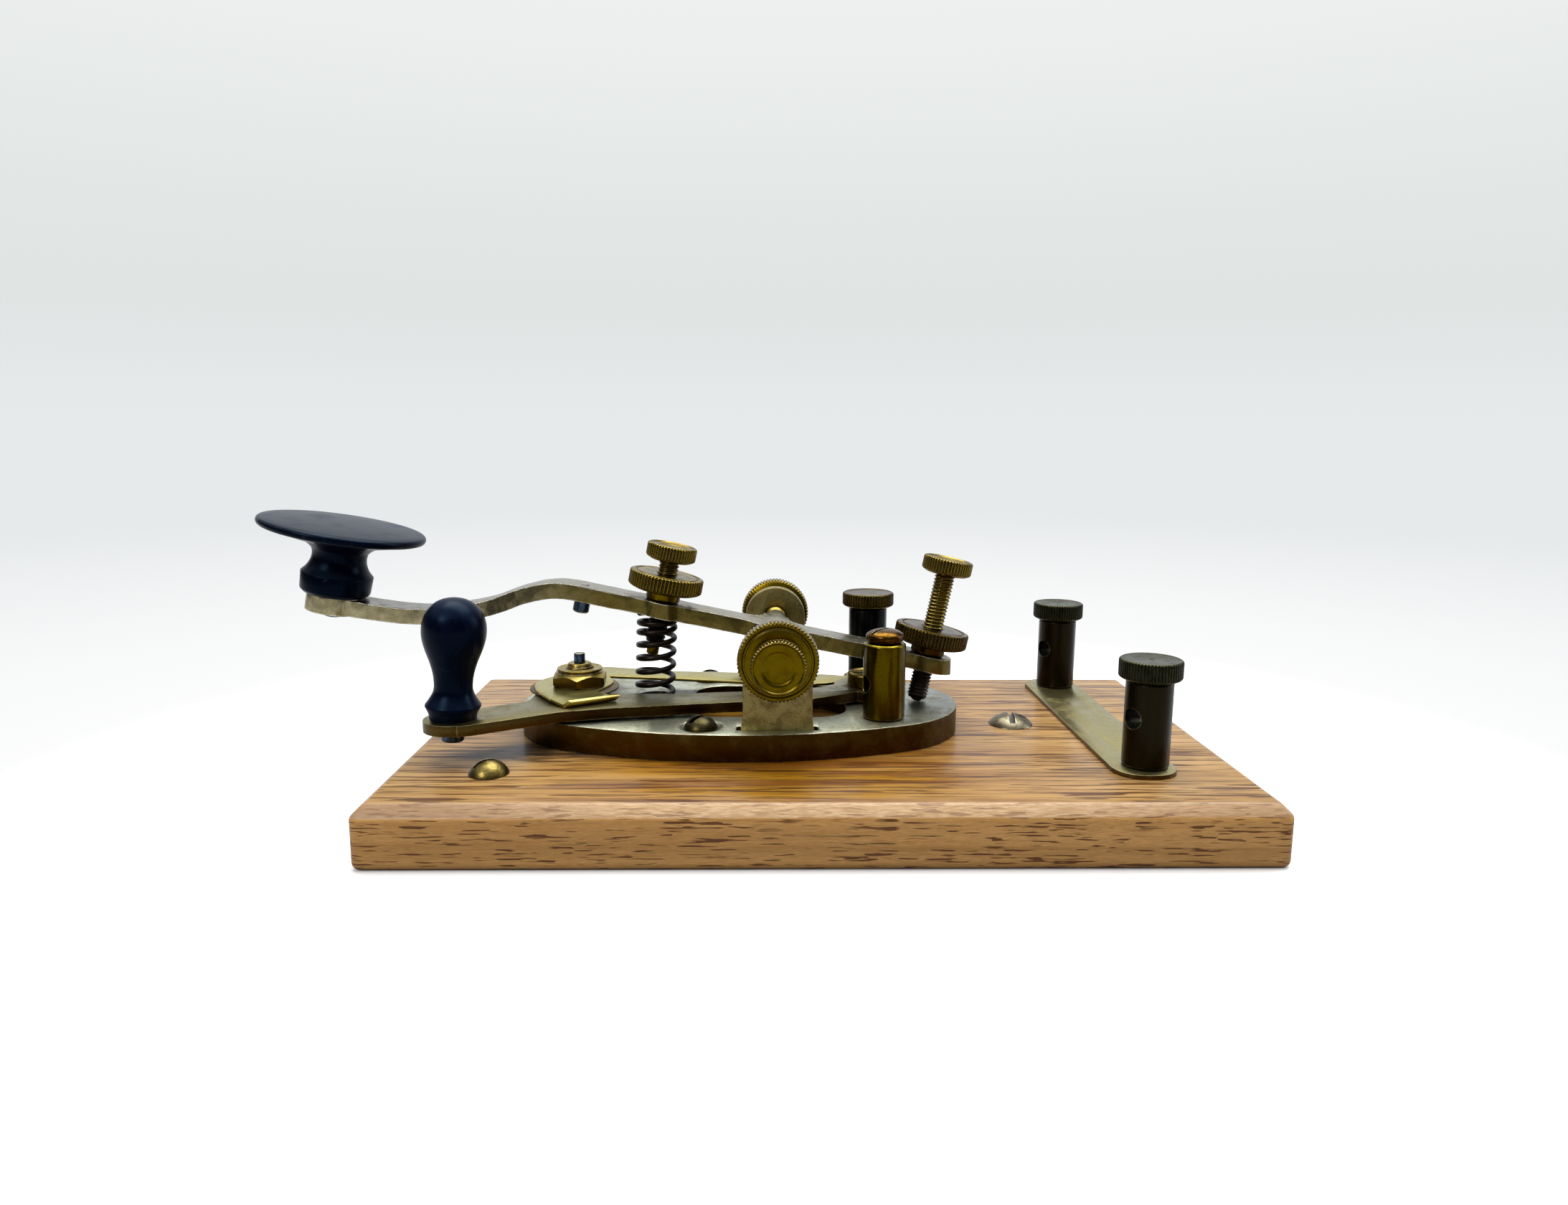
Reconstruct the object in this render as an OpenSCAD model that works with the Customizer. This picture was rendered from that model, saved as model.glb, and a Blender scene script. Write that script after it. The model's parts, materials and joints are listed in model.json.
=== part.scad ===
// Straight telegraph key on an oak board, with a circuit closer and four wire posts.
// Frame: origin under the board's centre, +X towards the terminal posts, +Y to the far side, +Z up.

/* [Board] */
// Length of the oak board
board_l = 177.8; // [172:0.1:200]
// Width of the oak board
board_w = 101.6; // [96:0.1:130]
// Thickness of the oak board
board_t = 12.7; // [11.5:0.1:20]
// Chamfer along the board's top edges
board_chamfer = 2.2; // [0.5:0.1:3]
// Radius of the board's upright corners
board_corner_r = 1.8; // [0.5:0.1:4]

/* [Key plate] */
// Length of the oval plate
plate_l = 100.6; // [98:0.1:104]
// Width of the oval plate
plate_w = 56; // [54.5:0.1:60]
// Thickness of the plate
plate_t = 6; // [5:0.1:8]
// Radius of the plate's two ends
plate_end_r = 22; // [18:0.1:25]
// Place of the plate's middle along the board
plate_x = -17; // [-18:0.1:-16]
// Place of the key's centre line across the board
key_y = 3; // [0:0.1:5]
// Length of the window in the plate
window_l = 35; // [30:0.1:36]
// Width of the window in the plate
window_w = 28; // [24:0.1:30]
// Corner radius of the window
window_r = 7; // [3:0.1:9]

/* [Trunnion] */
// Place of the trunnion axis along the board
trunnion_x = -8.7; // [-9.5:0.1:-8]
// Height of the trunnion axis above the plate
trunnion_rise = 16; // [15.8:0.1:17]
// Width of each ear
ear_w = 14.8; // [13:0.1:16]
// Thickness of each ear
ear_t = 3; // [2.4:0.1:3.4]
// Clear width between the two ears
ear_gap = 42.4; // [41:0.1:43]
// Widening of each side of an ear at its foot
ear_flare = 0.4; // [0:0.1:0.8]
// Relief past each side of an ear in the plate's slot
slot_relief = 0.9; // [0.3:0.1:1.2]
// Diameter of the trunnion screws
trunnion_screw_d = 5.2; // [4.6:0.1:5.6]
// Diameter of the journal at a trunnion screw's tip
journal_d = 3; // [2.4:0.1:3.2]
// Length of the journal in the lever's cross arm
journal_l = 4.2; // [3:0.1:5]

/* [Lever] */
// Width of the lever's bar
lever_w = 8; // [7:0.1:9]
// Thickness of the lever's bar
lever_t = 3.5; // [3:0.1:3.8]
// Slope of the lever's straight part in degrees
lever_slope = 11.5; // [11:0.1:12]
// Height of the bar's middle over the trunnion axis
lever_lift = 0.7; // [0.3:0.1:1]
// Distance from the trunnion axis to the knob
knob_reach = 101.2; // [97:0.1:104]
// Distance from the trunnion axis to the contacts
contact_reach = 45.6; // [44.5:0.1:46]
// Distance from the trunnion axis to the spring screw
spring_reach = 26.6; // [26.2:0.1:27]
// Distance from the trunnion axis to the gap screw
gap_reach = 34.7; // [34:0.1:36]
// Height of the knob's pad over the trunnion axis
knob_rise = 7.3; // [6.5:0.1:8]
// Tilt of the knob in degrees
knob_tilt = 10.6; // [8:0.1:12]
// Height of the lever's crest over the trunnion axis
crest_rise = 10.5; // [10.2:0.1:11]
// Height of the lever's dip over the trunnion axis
dip_rise = 4.5; // [4:0.1:5]
// Diameter of the round pad under the knob
pad_d = 12; // [11:0.1:14]
// Thickness of the pad under the knob
pad_t = 4; // [3.6:0.1:4.6]
// Diameter of the boss at the spring screw
spring_boss_d = 11; // [10:0.1:12]
// Diameter of the boss at the gap screw
gap_boss_d = 10.2; // [9:0.1:11]
// Distance of that boss's middle past the gap screw
gap_boss_shift = 0.9; // [0:0.1:1.2]
// Radius of the hollow corners between the bar and its bosses
boss_fillet = 6; // [3:0.1:8]
// Length of the cross arm from end to end
cross_l = 33; // [31:0.1:34]
// Largest diameter of the cross arm
cross_d = 5.8; // [5.2:0.1:6.2]
// Radius of the hollow corners between the bar and the cross arm
cross_fillet = 5; // [3:0.1:6]

/* [Knob] */
// Diameter of the knob's disc
knob_d = 36; // [34:0.1:40]
// Diameter of the knob's waist
knob_waist_d = 11.8; // [11:0.1:14]
// Diameter of the knob's collar
knob_collar_d = 15.6; // [15:0.1:18]
// Height of the knob from its seat to the rim's middle
knob_h = 14.9; // [14:0.1:18]
// Thickness of the knob's rim
knob_rim_t = 1.8; // [1.4:0.1:3]
// Diameter of the knob's screw
knob_screw_d = 4; // [3:0.1:5]

/* [Thumb screws and nuts] */
// Diameter of the knurled lock nuts
nut_d = 17; // [16:0.1:18]
// Height of a lock nut's knurled band
nut_band = 3.4; // [2.4:0.1:3.6]
// Diameter of a lock nut's hub
hub_d = 7.8; // [7.4:0.1:9]
// Height of a lock nut's hub
hub_h = 2.2; // [1.6:0.1:2.8]
// Diameter of the knurled screw heads
head_d = 11.4; // [10.4:0.1:12]
// Height of a screw head's knurled band
head_band = 2.7; // [2:0.1:3]
// Diameter of the spring screw and the gap screw
adjust_d = 4.7; // [4.2:0.1:5]
// Depth of the knurling
knurl_depth = 0.35; // [0.2:0.05:0.5]
// Number of teeth round a lock nut
nut_teeth = 56; // [36:1:64]
// Number of teeth round a screw head
head_teeth = 40; // [24:1:48]
// Height of the spring screw's head above its lock nut
spring_head_stand = 3.1; // [1:0.1:6]
// Height of the gap screw's head above its lock nut
gap_head_stand = 12.8; // [6:0.1:16]
// Distance of a trunnion screw's head from its lock nut
trunnion_head_stand = 2; // [0.5:0.1:4]
// Length of the spring screw's thread below the bar's middle
spring_screw_below = 8; // [6:0.1:9]
// Length of the pin at the spring screw's tip
spring_pin_l = 3.1; // [2:0.1:4]
// Diameter of the pin at the spring screw's tip
spring_pin_d = 2.8; // [2:0.1:3]

/* [Return spring] */
// Outer diameter of the spring
spring_od = 9.5; // [9.3:0.1:9.8]
// Diameter of the spring's wire
wire_d = 1.3; // [1:0.1:1.4]
// Number of turns of the spring's coil
spring_turns = 5.6; // [4:0.1:6]

/* [Contacts] */
// Diameter of the anvil's threaded body
anvil_d = 6.2; // [6:0.1:7]
// Height of the anvil's tip above the plate
anvil_rise = 11.4; // [11.2:0.1:12]
// Diameter of the anvil's tip
anvil_tip_d = 2.6; // [2:0.1:3]
// Length of the anvil's tip
anvil_tip_l = 2.4; // [1.6:0.1:2.6]
// Diameter of the upper contact
contact_d = 3.7; // [3:0.1:4]
// Drop of the upper contact below the lever
contact_drop = 3; // [2.4:0.1:3.2]
// Distance across the corners of the hexagon nut
hex_corner_d = 13.4; // [12.6:0.1:14]
// Height of the nut's hexagon
hex_h = 2.5; // [2:0.1:3]
// Height of the nut's dome above its hexagon
dome_h = 1.4; // [1:0.1:2]
// Diameter of the wide washer under the contact strap
washer_d = 20.4; // [19:0.1:21]
// Thickness of the wide washer
washer_t = 0.45; // [0.4:0.05:0.5]
// Diameter of the insulating spacer under the wide washer
spacer_d = 13.6; // [12:0.1:14]
// Thickness of the contact strap's sheet
strap_t = 0.6; // [0.4:0.05:0.7]

/* [Circuit closer] */
// Place of the closer's pivot along the board
closer_x = 12.8; // [12:0.1:13.5]
// Distance of the closer's pivot behind the key's centre line
closer_back = 3.8; // [3.4:0.1:4.2]
// Thickness of the closer's arm
arm_t = 2.3; // [2:0.1:2.4]
// Thickness of the washer under the arm
arm_washer_t = 0.7; // [0.5:0.05:0.8]
// Radius of the arm's round at the pivot
arm_pivot_r = 7.7; // [7:0.1:8]
// Radius of the arm's round at the handle
arm_end_r = 6.4; // [6:0.1:7]
// Height of the closer's handle
handle_h = 25.6; // [20:0.1:28]
// Largest diameter of the handle
handle_d = 13.1; // [12:0.1:15]
// Lean of the handle in degrees
handle_lean = 3.3; // [0:0.1:4]
// Diameter of the handle's stud
stud_d = 4.7; // [4:0.1:5]
// Length of the stud's end below the arm
stud_below = 2.6; // [1:0.1:2.8]
// Diameter of the pivot screw's head
pivot_head_d = 9; // [8:0.1:10]
// Height of the pivot screw's head
pivot_head_h = 3.1; // [2.4:0.1:3.6]

/* [Plate posts] */
// Diameter of the two posts on the plate
post_d = 9.3; // [9:0.1:10]
// Height of the two posts on the plate
post_h = 16.9; // [15:0.1:18]
// Place of the near post along the board
near_post_x = 14.9; // [14:0.1:15.4]
// Distance of the near post in front of the centre line
near_post_front = 14; // [13:0.1:14.5]
// Place of the far post along the board
far_post_x = 14.2; // [13.6:0.1:15]
// Distance of the far post behind the centre line
far_post_back = 18; // [17.6:0.1:18.4]
// Thickness of the insulating washer under the far post
post_insulator_t = 1.7; // [1.4:0.1:2.2]
// Diameter of the far post's thumbscrew head
post_head_d = 12.6; // [11:0.1:14]
// Diameter of the near post's clamp screw head
clamp_head_d = 8.4; // [7:0.1:9]
// Diameter of the wire holes in the plate posts
post_hole_d = 3.8; // [3:0.1:4]
// Height of the wire holes above the plate posts' feet
post_hole_h = 7.9; // [7:0.1:10]
// Diameter of the clamping screws in all four posts
clamp_d = 3.4; // [3:0.1:3.8]
// Turn of the near post's wire hole from the board's length in degrees
post_hole_turn = 18; // [0:1:60]
// Turn of the far post's wire hole from the board's length in degrees
far_hole_turn = 34; // [28:1:60]

/* [Terminal posts] */
// Place of the terminal strip along the board
strip_x = 66; // [60:0.1:72]
// Width of the terminal strip
strip_w = 13.4; // [13:0.1:16]
// Thickness of the terminal strip
strip_t = 1; // [0.8:0.1:1.6]
// Turn of the terminal strip from the board's end in degrees
strip_turn = 0.6; // [-1:0.1:1]
// Distance between the two terminal posts
terminal_pitch = 67.4; // [60:0.1:70]
// Distance of the terminal posts from the strip's middle line
terminal_shift = 0.8; // [0:0.1:1]
// Place of the middle between the terminal posts across the board
terminal_mid_y = 4.4; // [2:0.1:6]
// Overhang of the strip past each terminal post
strip_over = 7; // [6.5:0.1:9]
// Diameter of the terminal posts
terminal_d = 9.5; // [9:0.1:11]
// Height of the terminal posts above the strip
terminal_h = 18; // [16:0.1:20]
// Diameter of the terminal thumbscrew heads
terminal_head_d = 12.7; // [12:0.1:15]
// Diameter of the wire holes in the terminal posts
terminal_hole_d = 4.3; // [3:0.1:4.4]
// Height of the wire holes above the strip
terminal_hole_h = 10.4; // [9:0.1:12]
// Turn of the terminal posts' wire holes from the board's length in degrees
terminal_hole_turn = 28; // [0:1:60]

/* [Fits] */
// Radial clearance of a screw in its threaded hole
thread_clear = 0.06; // [0.02:0.01:0.09]
// Radial clearance of a journal or a pivot in its bore
pivot_clear = 0.05; // [0.02:0.01:0.09]
// Clearance between faces that move on each other
face_clear = 0.05; // [0.02:0.01:0.1]
// Clearance of the spring and the arm from what they pass
pass_clear = 0.3; // [0.2:0.05:0.4]

/* [Hidden] */
$fn = 64;

// Levels of the stack from the table upwards
plate_top = board_t + plate_t;
axis_z = plate_top + trunnion_rise;
arm_under = plate_top + arm_washer_t;
arm_top = arm_under + arm_t;
washer_under = arm_top + face_clear;
strap_under = washer_under + washer_t;
strap_top = strap_under + strap_t;
post_strap_under = plate_top + post_insulator_t;
post_strap_top = post_strap_under + strap_t;
strip_top = board_t + strip_t;

// Places along and across the board
anvil_at = [trunnion_x - contact_reach, key_y];
pivot_at = [closer_x, key_y + closer_back];
near_post_at = [near_post_x, key_y - near_post_front];
far_post_at = [far_post_x, key_y + far_post_back];
window_at = [trunnion_x - 1.7, key_y];
handle_at = pivot_at + [-89.4, -29.2];
plate_screw_at = [[trunnion_x - 16.4, key_y - 21.3], [trunnion_x - 16.4, key_y + 21.3]];
brass_screw_at = [21.7 - board_l / 2, 19.2 - board_w / 2];
steel_screw_at = [strip_x - 19.1, terminal_mid_y];
strip_at = [strip_x, terminal_mid_y];
terminal_near_at = on_strip(terminal_shift, -terminal_pitch / 2);
terminal_far_at = on_strip(terminal_shift, terminal_pitch / 2);

// Small sizes shared by several pieces
chamfer_h = 0.6;
bevel_h = 0.35;
nut_h = hub_h + chamfer_h + nut_band;
head_h = chamfer_h + head_band + bevel_h;
foot_w = ear_w + 2 * ear_flare;
fix_screw_d = 4;
fix_head_d = 8.4;
fix_head_h = 2.4;
under_washer_t = 0.8;
pocket_depth = under_washer_t + fix_head_h + 0.6;
shank_d = 3.6;
arm_gap = 0.5;
wood_clear = 0.05;
over = 1;

// Place on the strip, measured from its middle
function on_strip(x, y) = strip_at + [x * cos(strip_turn) - y * sin(strip_turn),
    x * sin(strip_turn) + y * cos(strip_turn)];

// Points of an arc about c
function arc(c, r, a0, a1, n) = [for (i = [0:n]) c + r * [cos(a0 + (a1 - a0) * i / n),
    sin(a0 + (a1 - a0) * i / n)]];

// Outline of an oval made of two end arcs and two side arcs that run into each other
function oval(l, w, r, n) = let (c = l / 2 - r, side = ((l * l + w * w) / 4 - l * r) / (w - 2 * r),
    d = side - w / 2, a = atan2(d, c)) concat(arc([c, 0], r, -a, a, n),
    arc([0, -d], side, a, 180 - a, n), arc([-c, 0], r, 180 - a, 180 + a, n),
    arc([0, d], side, 180 + a, 360 - a, n));

// Outline of a rectangle with round corners
function rounded(l, w, r, n) = concat(arc([l / 2 - r, w / 2 - r], r, 0, 90, n),
    arc([r - l / 2, w / 2 - r], r, 90, 180, n), arc([r - l / 2, r - w / 2], r, 180, 270, n),
    arc([l / 2 - r, r - w / 2], r, 270, 360, n));

// Outline of a knurled rim
function knurl(r, teeth) = [for (i = [0:2 * teeth - 1]) (r - (i % 2) * knurl_depth)
    * [cos(180 * i / teeth), sin(180 * i / teeth)]];

// Diameter just inside the grooves of a knurled rim
function knurl_root(d) = d - 2 * knurl_depth - 0.2;

// Smooth curve through a few points
function blend_at(a, b, c, d, t) = 0.5 * (2 * b + (c - a) * t + (2 * a - 5 * b + 4 * c - d) * t * t
    + (3 * b - a - 3 * c + d) * t * t * t);
function smooth(p, n) = concat([for (i = [0:len(p) - 2]) for (k = [0:n - 1])
    blend_at(p[max(i - 1, 0)], p[i], p[i + 1], p[min(i + 2, len(p) - 1)], k / n)], [p[len(p) - 1]]);

// Direction and side of a curve at each of its points
function heading(p, i) = let (d = p[min(i + 1, len(p) - 1)] - p[max(i - 1, 0)]) d / norm(d);
function beside(p, s) = [for (i = [0:len(p) - 1]) p[i] + s * [-heading(p, i)[1], heading(p, i)[0]]];

// Height of the bar's middle over the table at a distance x from the trunnion axis
function bar_z(x) = axis_z + lever_lift - x * tan(lever_slope);
function bar_under(x) = bar_z(x) - lever_t / 2 / cos(lever_slope);

// Middle line of the bar, seen from the front, from the knob to the gap screw
bar_line = concat(smooth([[-knob_reach, knob_rise], [9.5 - knob_reach, knob_rise - 9.5 * tan(knob_tilt)],
    [19 - knob_reach, dip_rise], [27 - knob_reach, dip_rise + 0.4],
    [-contact_reach - 19.5, 6.5], [-contact_reach - 11.5, 9.3], [-contact_reach - 4, crest_rise],
    [4.5 - contact_reach, lever_lift + (contact_reach - 4.5) * tan(lever_slope)]], 6),
    [[gap_reach + gap_boss_d, lever_lift - (gap_reach + gap_boss_d) * tan(lever_slope)]]);

// Place and slope of the bar's middle line over the anvil, between two of its points
contact_mid = (bar_line[39] + bar_line[40]) / 2;
contact_way = bar_line[40] - bar_line[39];

module at(p, z = 0) {
    translate([p[0], p[1], z]) children();
}

module slab(points, z0, z1) {
    translate([0, 0, z0]) linear_extrude(z1 - z0) polygon(points);
}

// Place on the lever's straight part, square to the bar
module on_bar(x) {
    translate([trunnion_x + x, key_y, bar_z(x)]) rotate([0, lever_slope, 0]) children();
}

// Place over the anvil, square to the bar
module on_contact() {
    translate([trunnion_x + contact_mid[0], key_y, axis_z + contact_mid[1]])
        rotate([0, atan2(-contact_way[1], contact_way[0]), 0]) children();
}

// Place on the pad under the knob, with the pad's top at zero
module on_pad() {
    translate([trunnion_x - knob_reach, key_y, axis_z + knob_rise]) rotate([0, knob_tilt, 0])
        translate([0, 0, pad_t / 2]) children();
}

// Trunnion axis, pointing outwards: side is -1 in front and 1 at the rear
module on_trunnion(side) {
    translate([trunnion_x, key_y, axis_z]) rotate([-90 * side, 0, 0]) children();
}

// Knurled lock nut standing on its hub
module lock_nut(bore_d) {
    difference() {
        union() {
            cylinder(h = hub_h + chamfer_h, d = hub_d);
            translate([0, 0, hub_h]) cylinder(h = chamfer_h, d1 = nut_d - 3, d2 = knurl_root(nut_d));
            slab(knurl(nut_d / 2, nut_teeth), hub_h + chamfer_h, nut_h);
        }
        translate([0, 0, -over]) cylinder(h = nut_h + 2 * over, d = bore_d + 2 * thread_clear);
        translate([0, 0, nut_h - 0.3]) difference() {
            cylinder(h = over, d = nut_d - 2.4);
            translate([0, 0, -over]) cylinder(h = 3 * over, d = nut_d - 3.2);
        }
    }
}

// Knurled screw head with a shallow dish in its face
module knurled_head(d, band, teeth) {
    difference() {
        union() {
            cylinder(h = chamfer_h, d1 = d - 2.4, d2 = knurl_root(d));
            slab(knurl(d / 2, teeth), chamfer_h, chamfer_h + band);
            translate([0, 0, chamfer_h + band]) cylinder(h = bevel_h, d1 = knurl_root(d), d2 = d - 1.3);
        }
        translate([0, 0, chamfer_h + band + bevel_h - 0.3]) cylinder(h = over, d = d - 2);
    }
}

// Round screw head with a straight slot
module slotted_head(d, h, slot_w, turn) {
    ball_r = (d * d / 4 + h * h) / (2 * h);
    difference() {
        intersection() {
            translate([0, 0, h - ball_r]) sphere(ball_r);
            cylinder(h = h + over, d = d);
        }
        rotate([0, 0, turn]) translate([-d, -slot_w / 2, h * 0.45]) cube([2 * d, slot_w, h]);
    }
}

// Post with a bore for its clamping screw, a wire hole and a hole for its fixing screw
module wire_post(d, h, hole_d, hole_h, turn) {
    bevel = 0.4;
    difference() {
        union() {
            cylinder(h = bevel, d1 = d - 2 * bevel, d2 = d);
            translate([0, 0, bevel]) cylinder(h = h - 2 * bevel, d = d);
            translate([0, 0, h - bevel]) cylinder(h = bevel, d1 = d, d2 = d - 2 * bevel);
        }
        translate([0, 0, hole_h]) cylinder(h = h, d = clamp_d + 2 * thread_clear);
        translate([0, 0, hole_h]) rotate([0, 0, turn]) rotate([0, 90, 0])
            cylinder(h = 2 * d, d = hole_d, center = true);
        translate([0, 0, -over]) cylinder(h = over + fix_depth(hole_d, hole_h), d = fix_screw_d
            + 2 * thread_clear);
    }
}

// Depth of a fixing screw in the foot of a post
function fix_depth(hole_d, hole_h) = hole_h - hole_d / 2 - 1.2;

// Clamping screw that stops above a post's wire hole, with its head's underside at zero
module clamp_shank(h, hole_d, hole_h) {
    shank_l = h - hole_h - hole_d / 2 - 0.3;
    translate([0, 0, -shank_l]) cylinder(h = shank_l + 0.3, d = clamp_d);
}

module base_board() {
    edge = [[-board_l / 2, 0], [board_l / 2, 0], [board_l / 2, board_t - board_chamfer],
        [board_l / 2 - board_chamfer, board_t], [board_chamfer - board_l / 2, board_t],
        [-board_l / 2, board_t - board_chamfer]];
    side = [[-board_w / 2, 0], [board_w / 2, 0], [board_w / 2, board_t - board_chamfer],
        [board_w / 2 - board_chamfer, board_t], [board_chamfer - board_w / 2, board_t],
        [-board_w / 2, board_t - board_chamfer]];
    color("burlywood") difference() {
        intersection() {
            slab(rounded(board_l, board_w, board_corner_r, 4), 0, board_t);
            rotate([90, 0, 0]) linear_extrude(board_w + 2 * over, center = true) polygon(edge);
            rotate([90, 0, 90]) linear_extrude(board_l + 2 * over, center = true) polygon(side);
        }
        at(anvil_at, board_t - pocket_depth) cylinder(h = pocket_depth + over, d = spacer_d + 1);
        at(far_post_at, board_t - pocket_depth) cylinder(h = pocket_depth + over, d = 13);
        for (p = plate_screw_at) at(p, 3) cylinder(h = board_t, d = shank_d + 2 * wood_clear);
        for (p = [brass_screw_at, steel_screw_at]) at(p, 2.5)
            cylinder(h = board_t, d = shank_d + 2 * wood_clear);
        for (p = [terminal_near_at, terminal_far_at]) {
            at(p, -over) cylinder(h = board_t + 2 * over, d = fix_screw_d + 0.4);
            at(p, -over) cylinder(h = over + fix_head_h + 1.6, d = fix_head_d + 1.6);
        }
    }
}

module key_plate() {
    slot_l = foot_w + 2 * slot_relief;
    color([0.62, 0.55, 0.42]) difference() {
        at([plate_x, key_y]) slab(oval(plate_l, plate_w, plate_end_r, 16), board_t, plate_top);
        at(window_at) slab(rounded(window_l, window_w, window_r, 8), board_t - over, plate_top + over);
        for (side = [-1, 1]) translate([trunnion_x, key_y + side * (ear_gap + ear_t) / 2, board_t])
            cube([slot_l, ear_t + 2 * face_clear, 3 * plate_t], center = true);
        for (p = plate_screw_at) {
            at(p, board_t - over) cylinder(h = plate_t + 2 * over, d = shank_d + 0.4);
            at(p, plate_top - 1) cylinder(h = 1 + over, d1 = 7.5, d2 = 7.5 + 2 * (1 + over));
        }
        at(anvil_at, board_t - over) cylinder(h = plate_t + 2 * over, d = anvil_d + 3);
        at(far_post_at, board_t - over) cylinder(h = plate_t + 2 * over, d = fix_screw_d + 4);
        at(near_post_at, board_t - over) cylinder(h = plate_t + 2 * over, d = fix_screw_d + 0.4);
        at(near_post_at, board_t - over) cylinder(h = over + fix_head_h + 0.2, d = fix_head_d + 0.4);
        at(pivot_at, board_t - over) cylinder(h = plate_t + 2 * over, d = clamp_d + 1.2 + 2 * thread_clear);
    }
}

// One ear, with its foot in the plate's slot and a round top about the trunnion axis
module ear(side) {
    r = ear_w / 2;
    flare_h = 2.4;
    outline = concat([[-foot_w / 2, board_t], [foot_w / 2, board_t], [foot_w / 2, plate_top],
        [r, plate_top + flare_h]], arc([0, axis_z], r, 0, 180, 24),
        [[-r, plate_top + flare_h], [-foot_w / 2, plate_top]]);
    color([0.58, 0.56, 0.5]) difference() {
        translate([trunnion_x, key_y + side * (ear_gap + ear_t) / 2, 0]) rotate([90, 0, 0])
            linear_extrude(ear_t, center = true) polygon(outline);
        on_trunnion(side) translate([0, 0, ear_gap / 2 - over])
            cylinder(h = ear_t + 2 * over, d = trunnion_screw_d + 2 * thread_clear);
    }
}

module trunnion_ear_front() {
    ear(-1);
}

module trunnion_ear_rear() {
    ear(1);
}

// Half of the cross arm: a round hub in the bar that narrows to the journal's end
module cross_arm(side) {
    r = cross_d / 2;
    rise = concat([[0, 0], [r + 0.7, 0]], smooth([[r + 0.7, lever_w / 2 - 0.6], [r + 0.25, 6.2],
        [r, 9.5], [r - 0.15, cross_l / 2 - 0.4]], 3), [[r - 0.5, cross_l / 2], [0, cross_l / 2]]);
    on_trunnion(side) rotate_extrude() polygon(rise);
}

// Outline of a round boss of radius r with hollow corners of radius f to both sides of the bar
function boss(r, f) = let (y = lever_w / 2, c = sqrt((r + f) * (r + f) - (y + f) * (y + f)),
    a = atan2(y + f, c)) concat(arc([c, -y - f], f, 90, 180 - a, 6), arc([0, 0], r, -a, a - 360, 24),
    arc([c, y + f], f, 180 + a, 270, 6));

// Round boss joined to the bar on both sides
module boss_both(r, f) {
    slab(boss(r, f), 0, 2 * axis_z);
    mirror([1, 0, 0]) slab(boss(r, f), 0, 2 * axis_z);
}

// Web with hollow corners between the bar and one side of the cross arm
module cross_web(side) {
    x = cross_d / 2;
    y = lever_w / 2;
    f = cross_fillet;
    web = concat([[-x - f, 0]], arc([-x - f, y + f], f, -90, 0, 8), [[-x, y + f + 1], [x, y + f + 1]],
        arc([x + f, y + f], f, 180, 270, 8), [[x + f, 0]]);
    at([trunnion_x, key_y]) scale([1, side, 1]) slab(web, 0, 2 * axis_z);
}

module lever() {
    top = beside(bar_line, lever_t / 2);
    bottom = beside(bar_line, -lever_t / 2);
    side_view = concat(top, [for (i = [len(bottom) - 1:-1:0]) bottom[i]]);
    color([0.68, 0.66, 0.58]) difference() {
        union() {
            intersection() {
                translate([trunnion_x, key_y, axis_z]) rotate([90, 0, 0])
                    linear_extrude(cross_l, center = true) polygon(side_view);
                union() {
                    translate([trunnion_x - knob_reach, key_y - lever_w / 2, 0])
                        cube([knob_reach + gap_reach, lever_w, 2 * axis_z]);
                    at([trunnion_x - spring_reach + 0.4, key_y]) boss_both(spring_boss_d / 2, boss_fillet);
                    at([trunnion_x - knob_reach, key_y]) slab(boss(pad_d / 2, boss_fillet), 0, 2 * axis_z);
                    at([trunnion_x + gap_reach + gap_boss_shift, key_y]) mirror([1, 0, 0])
                        slab(boss(gap_boss_d / 2, boss_fillet), 0, 2 * axis_z);
                    cross_web(-1);
                    cross_web(1);
                }
            }
            on_pad() translate([0, 0, -pad_t]) cylinder(h = pad_t, d = pad_d);
            cross_arm(-1);
            cross_arm(1);
        }
        for (side = [-1, 1]) on_trunnion(side) translate([0, 0, cross_l / 2 - journal_l - 0.3])
            cylinder(h = journal_l + over, d = journal_d + 2 * pivot_clear);
        on_bar(-spring_reach) cylinder(h = 4 * lever_t, d = adjust_d + 2 * thread_clear, center = true);
        on_bar(gap_reach) cylinder(h = 4 * lever_t, d = adjust_d + 2 * thread_clear, center = true);
        on_pad() translate([0, 0, -2 * pad_t]) cylinder(h = 3 * pad_t, d = knob_screw_d + 2 * thread_clear);
        on_contact() cylinder(h = 4 * lever_t, d = contact_d / 2 + 2 * thread_clear, center = true);
    }
}

module lever_knob() {
    rim = knob_rim_t / 2;
    collar = knob_collar_d / 2;
    waist = knob_waist_d / 2;
    outline = concat([[0, 0], [collar - 1, 0], [collar - 0.2, 0.8], [collar, knob_h - 10.3]],
        smooth([[collar - 0.05, knob_h - 10.2], [waist + 0.7, knob_h - 8.8], [waist, knob_h - 6.8],
            [waist + 0.3, knob_h - 4.8], [waist + 2.2, knob_h - 3.2]], 4),
        [[knob_d / 2 - 2.2, knob_h - rim - 0.3]],
        arc([knob_d / 2 - rim, knob_h], rim, -75, 75, 8),
        [[knob_d / 2 - 2.4, knob_h + rim + 0.15], [knob_d / 4, knob_h + rim + 0.5],
            [0, knob_h + rim + 0.6]]);
    color([0.08, 0.09, 0.14]) on_pad() difference() {
        rotate_extrude($fn = 96) polygon(outline);
        translate([0, 0, -over]) cylinder(h = 8 + over, d = knob_screw_d + 2 * thread_clear);
    }
}

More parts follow.
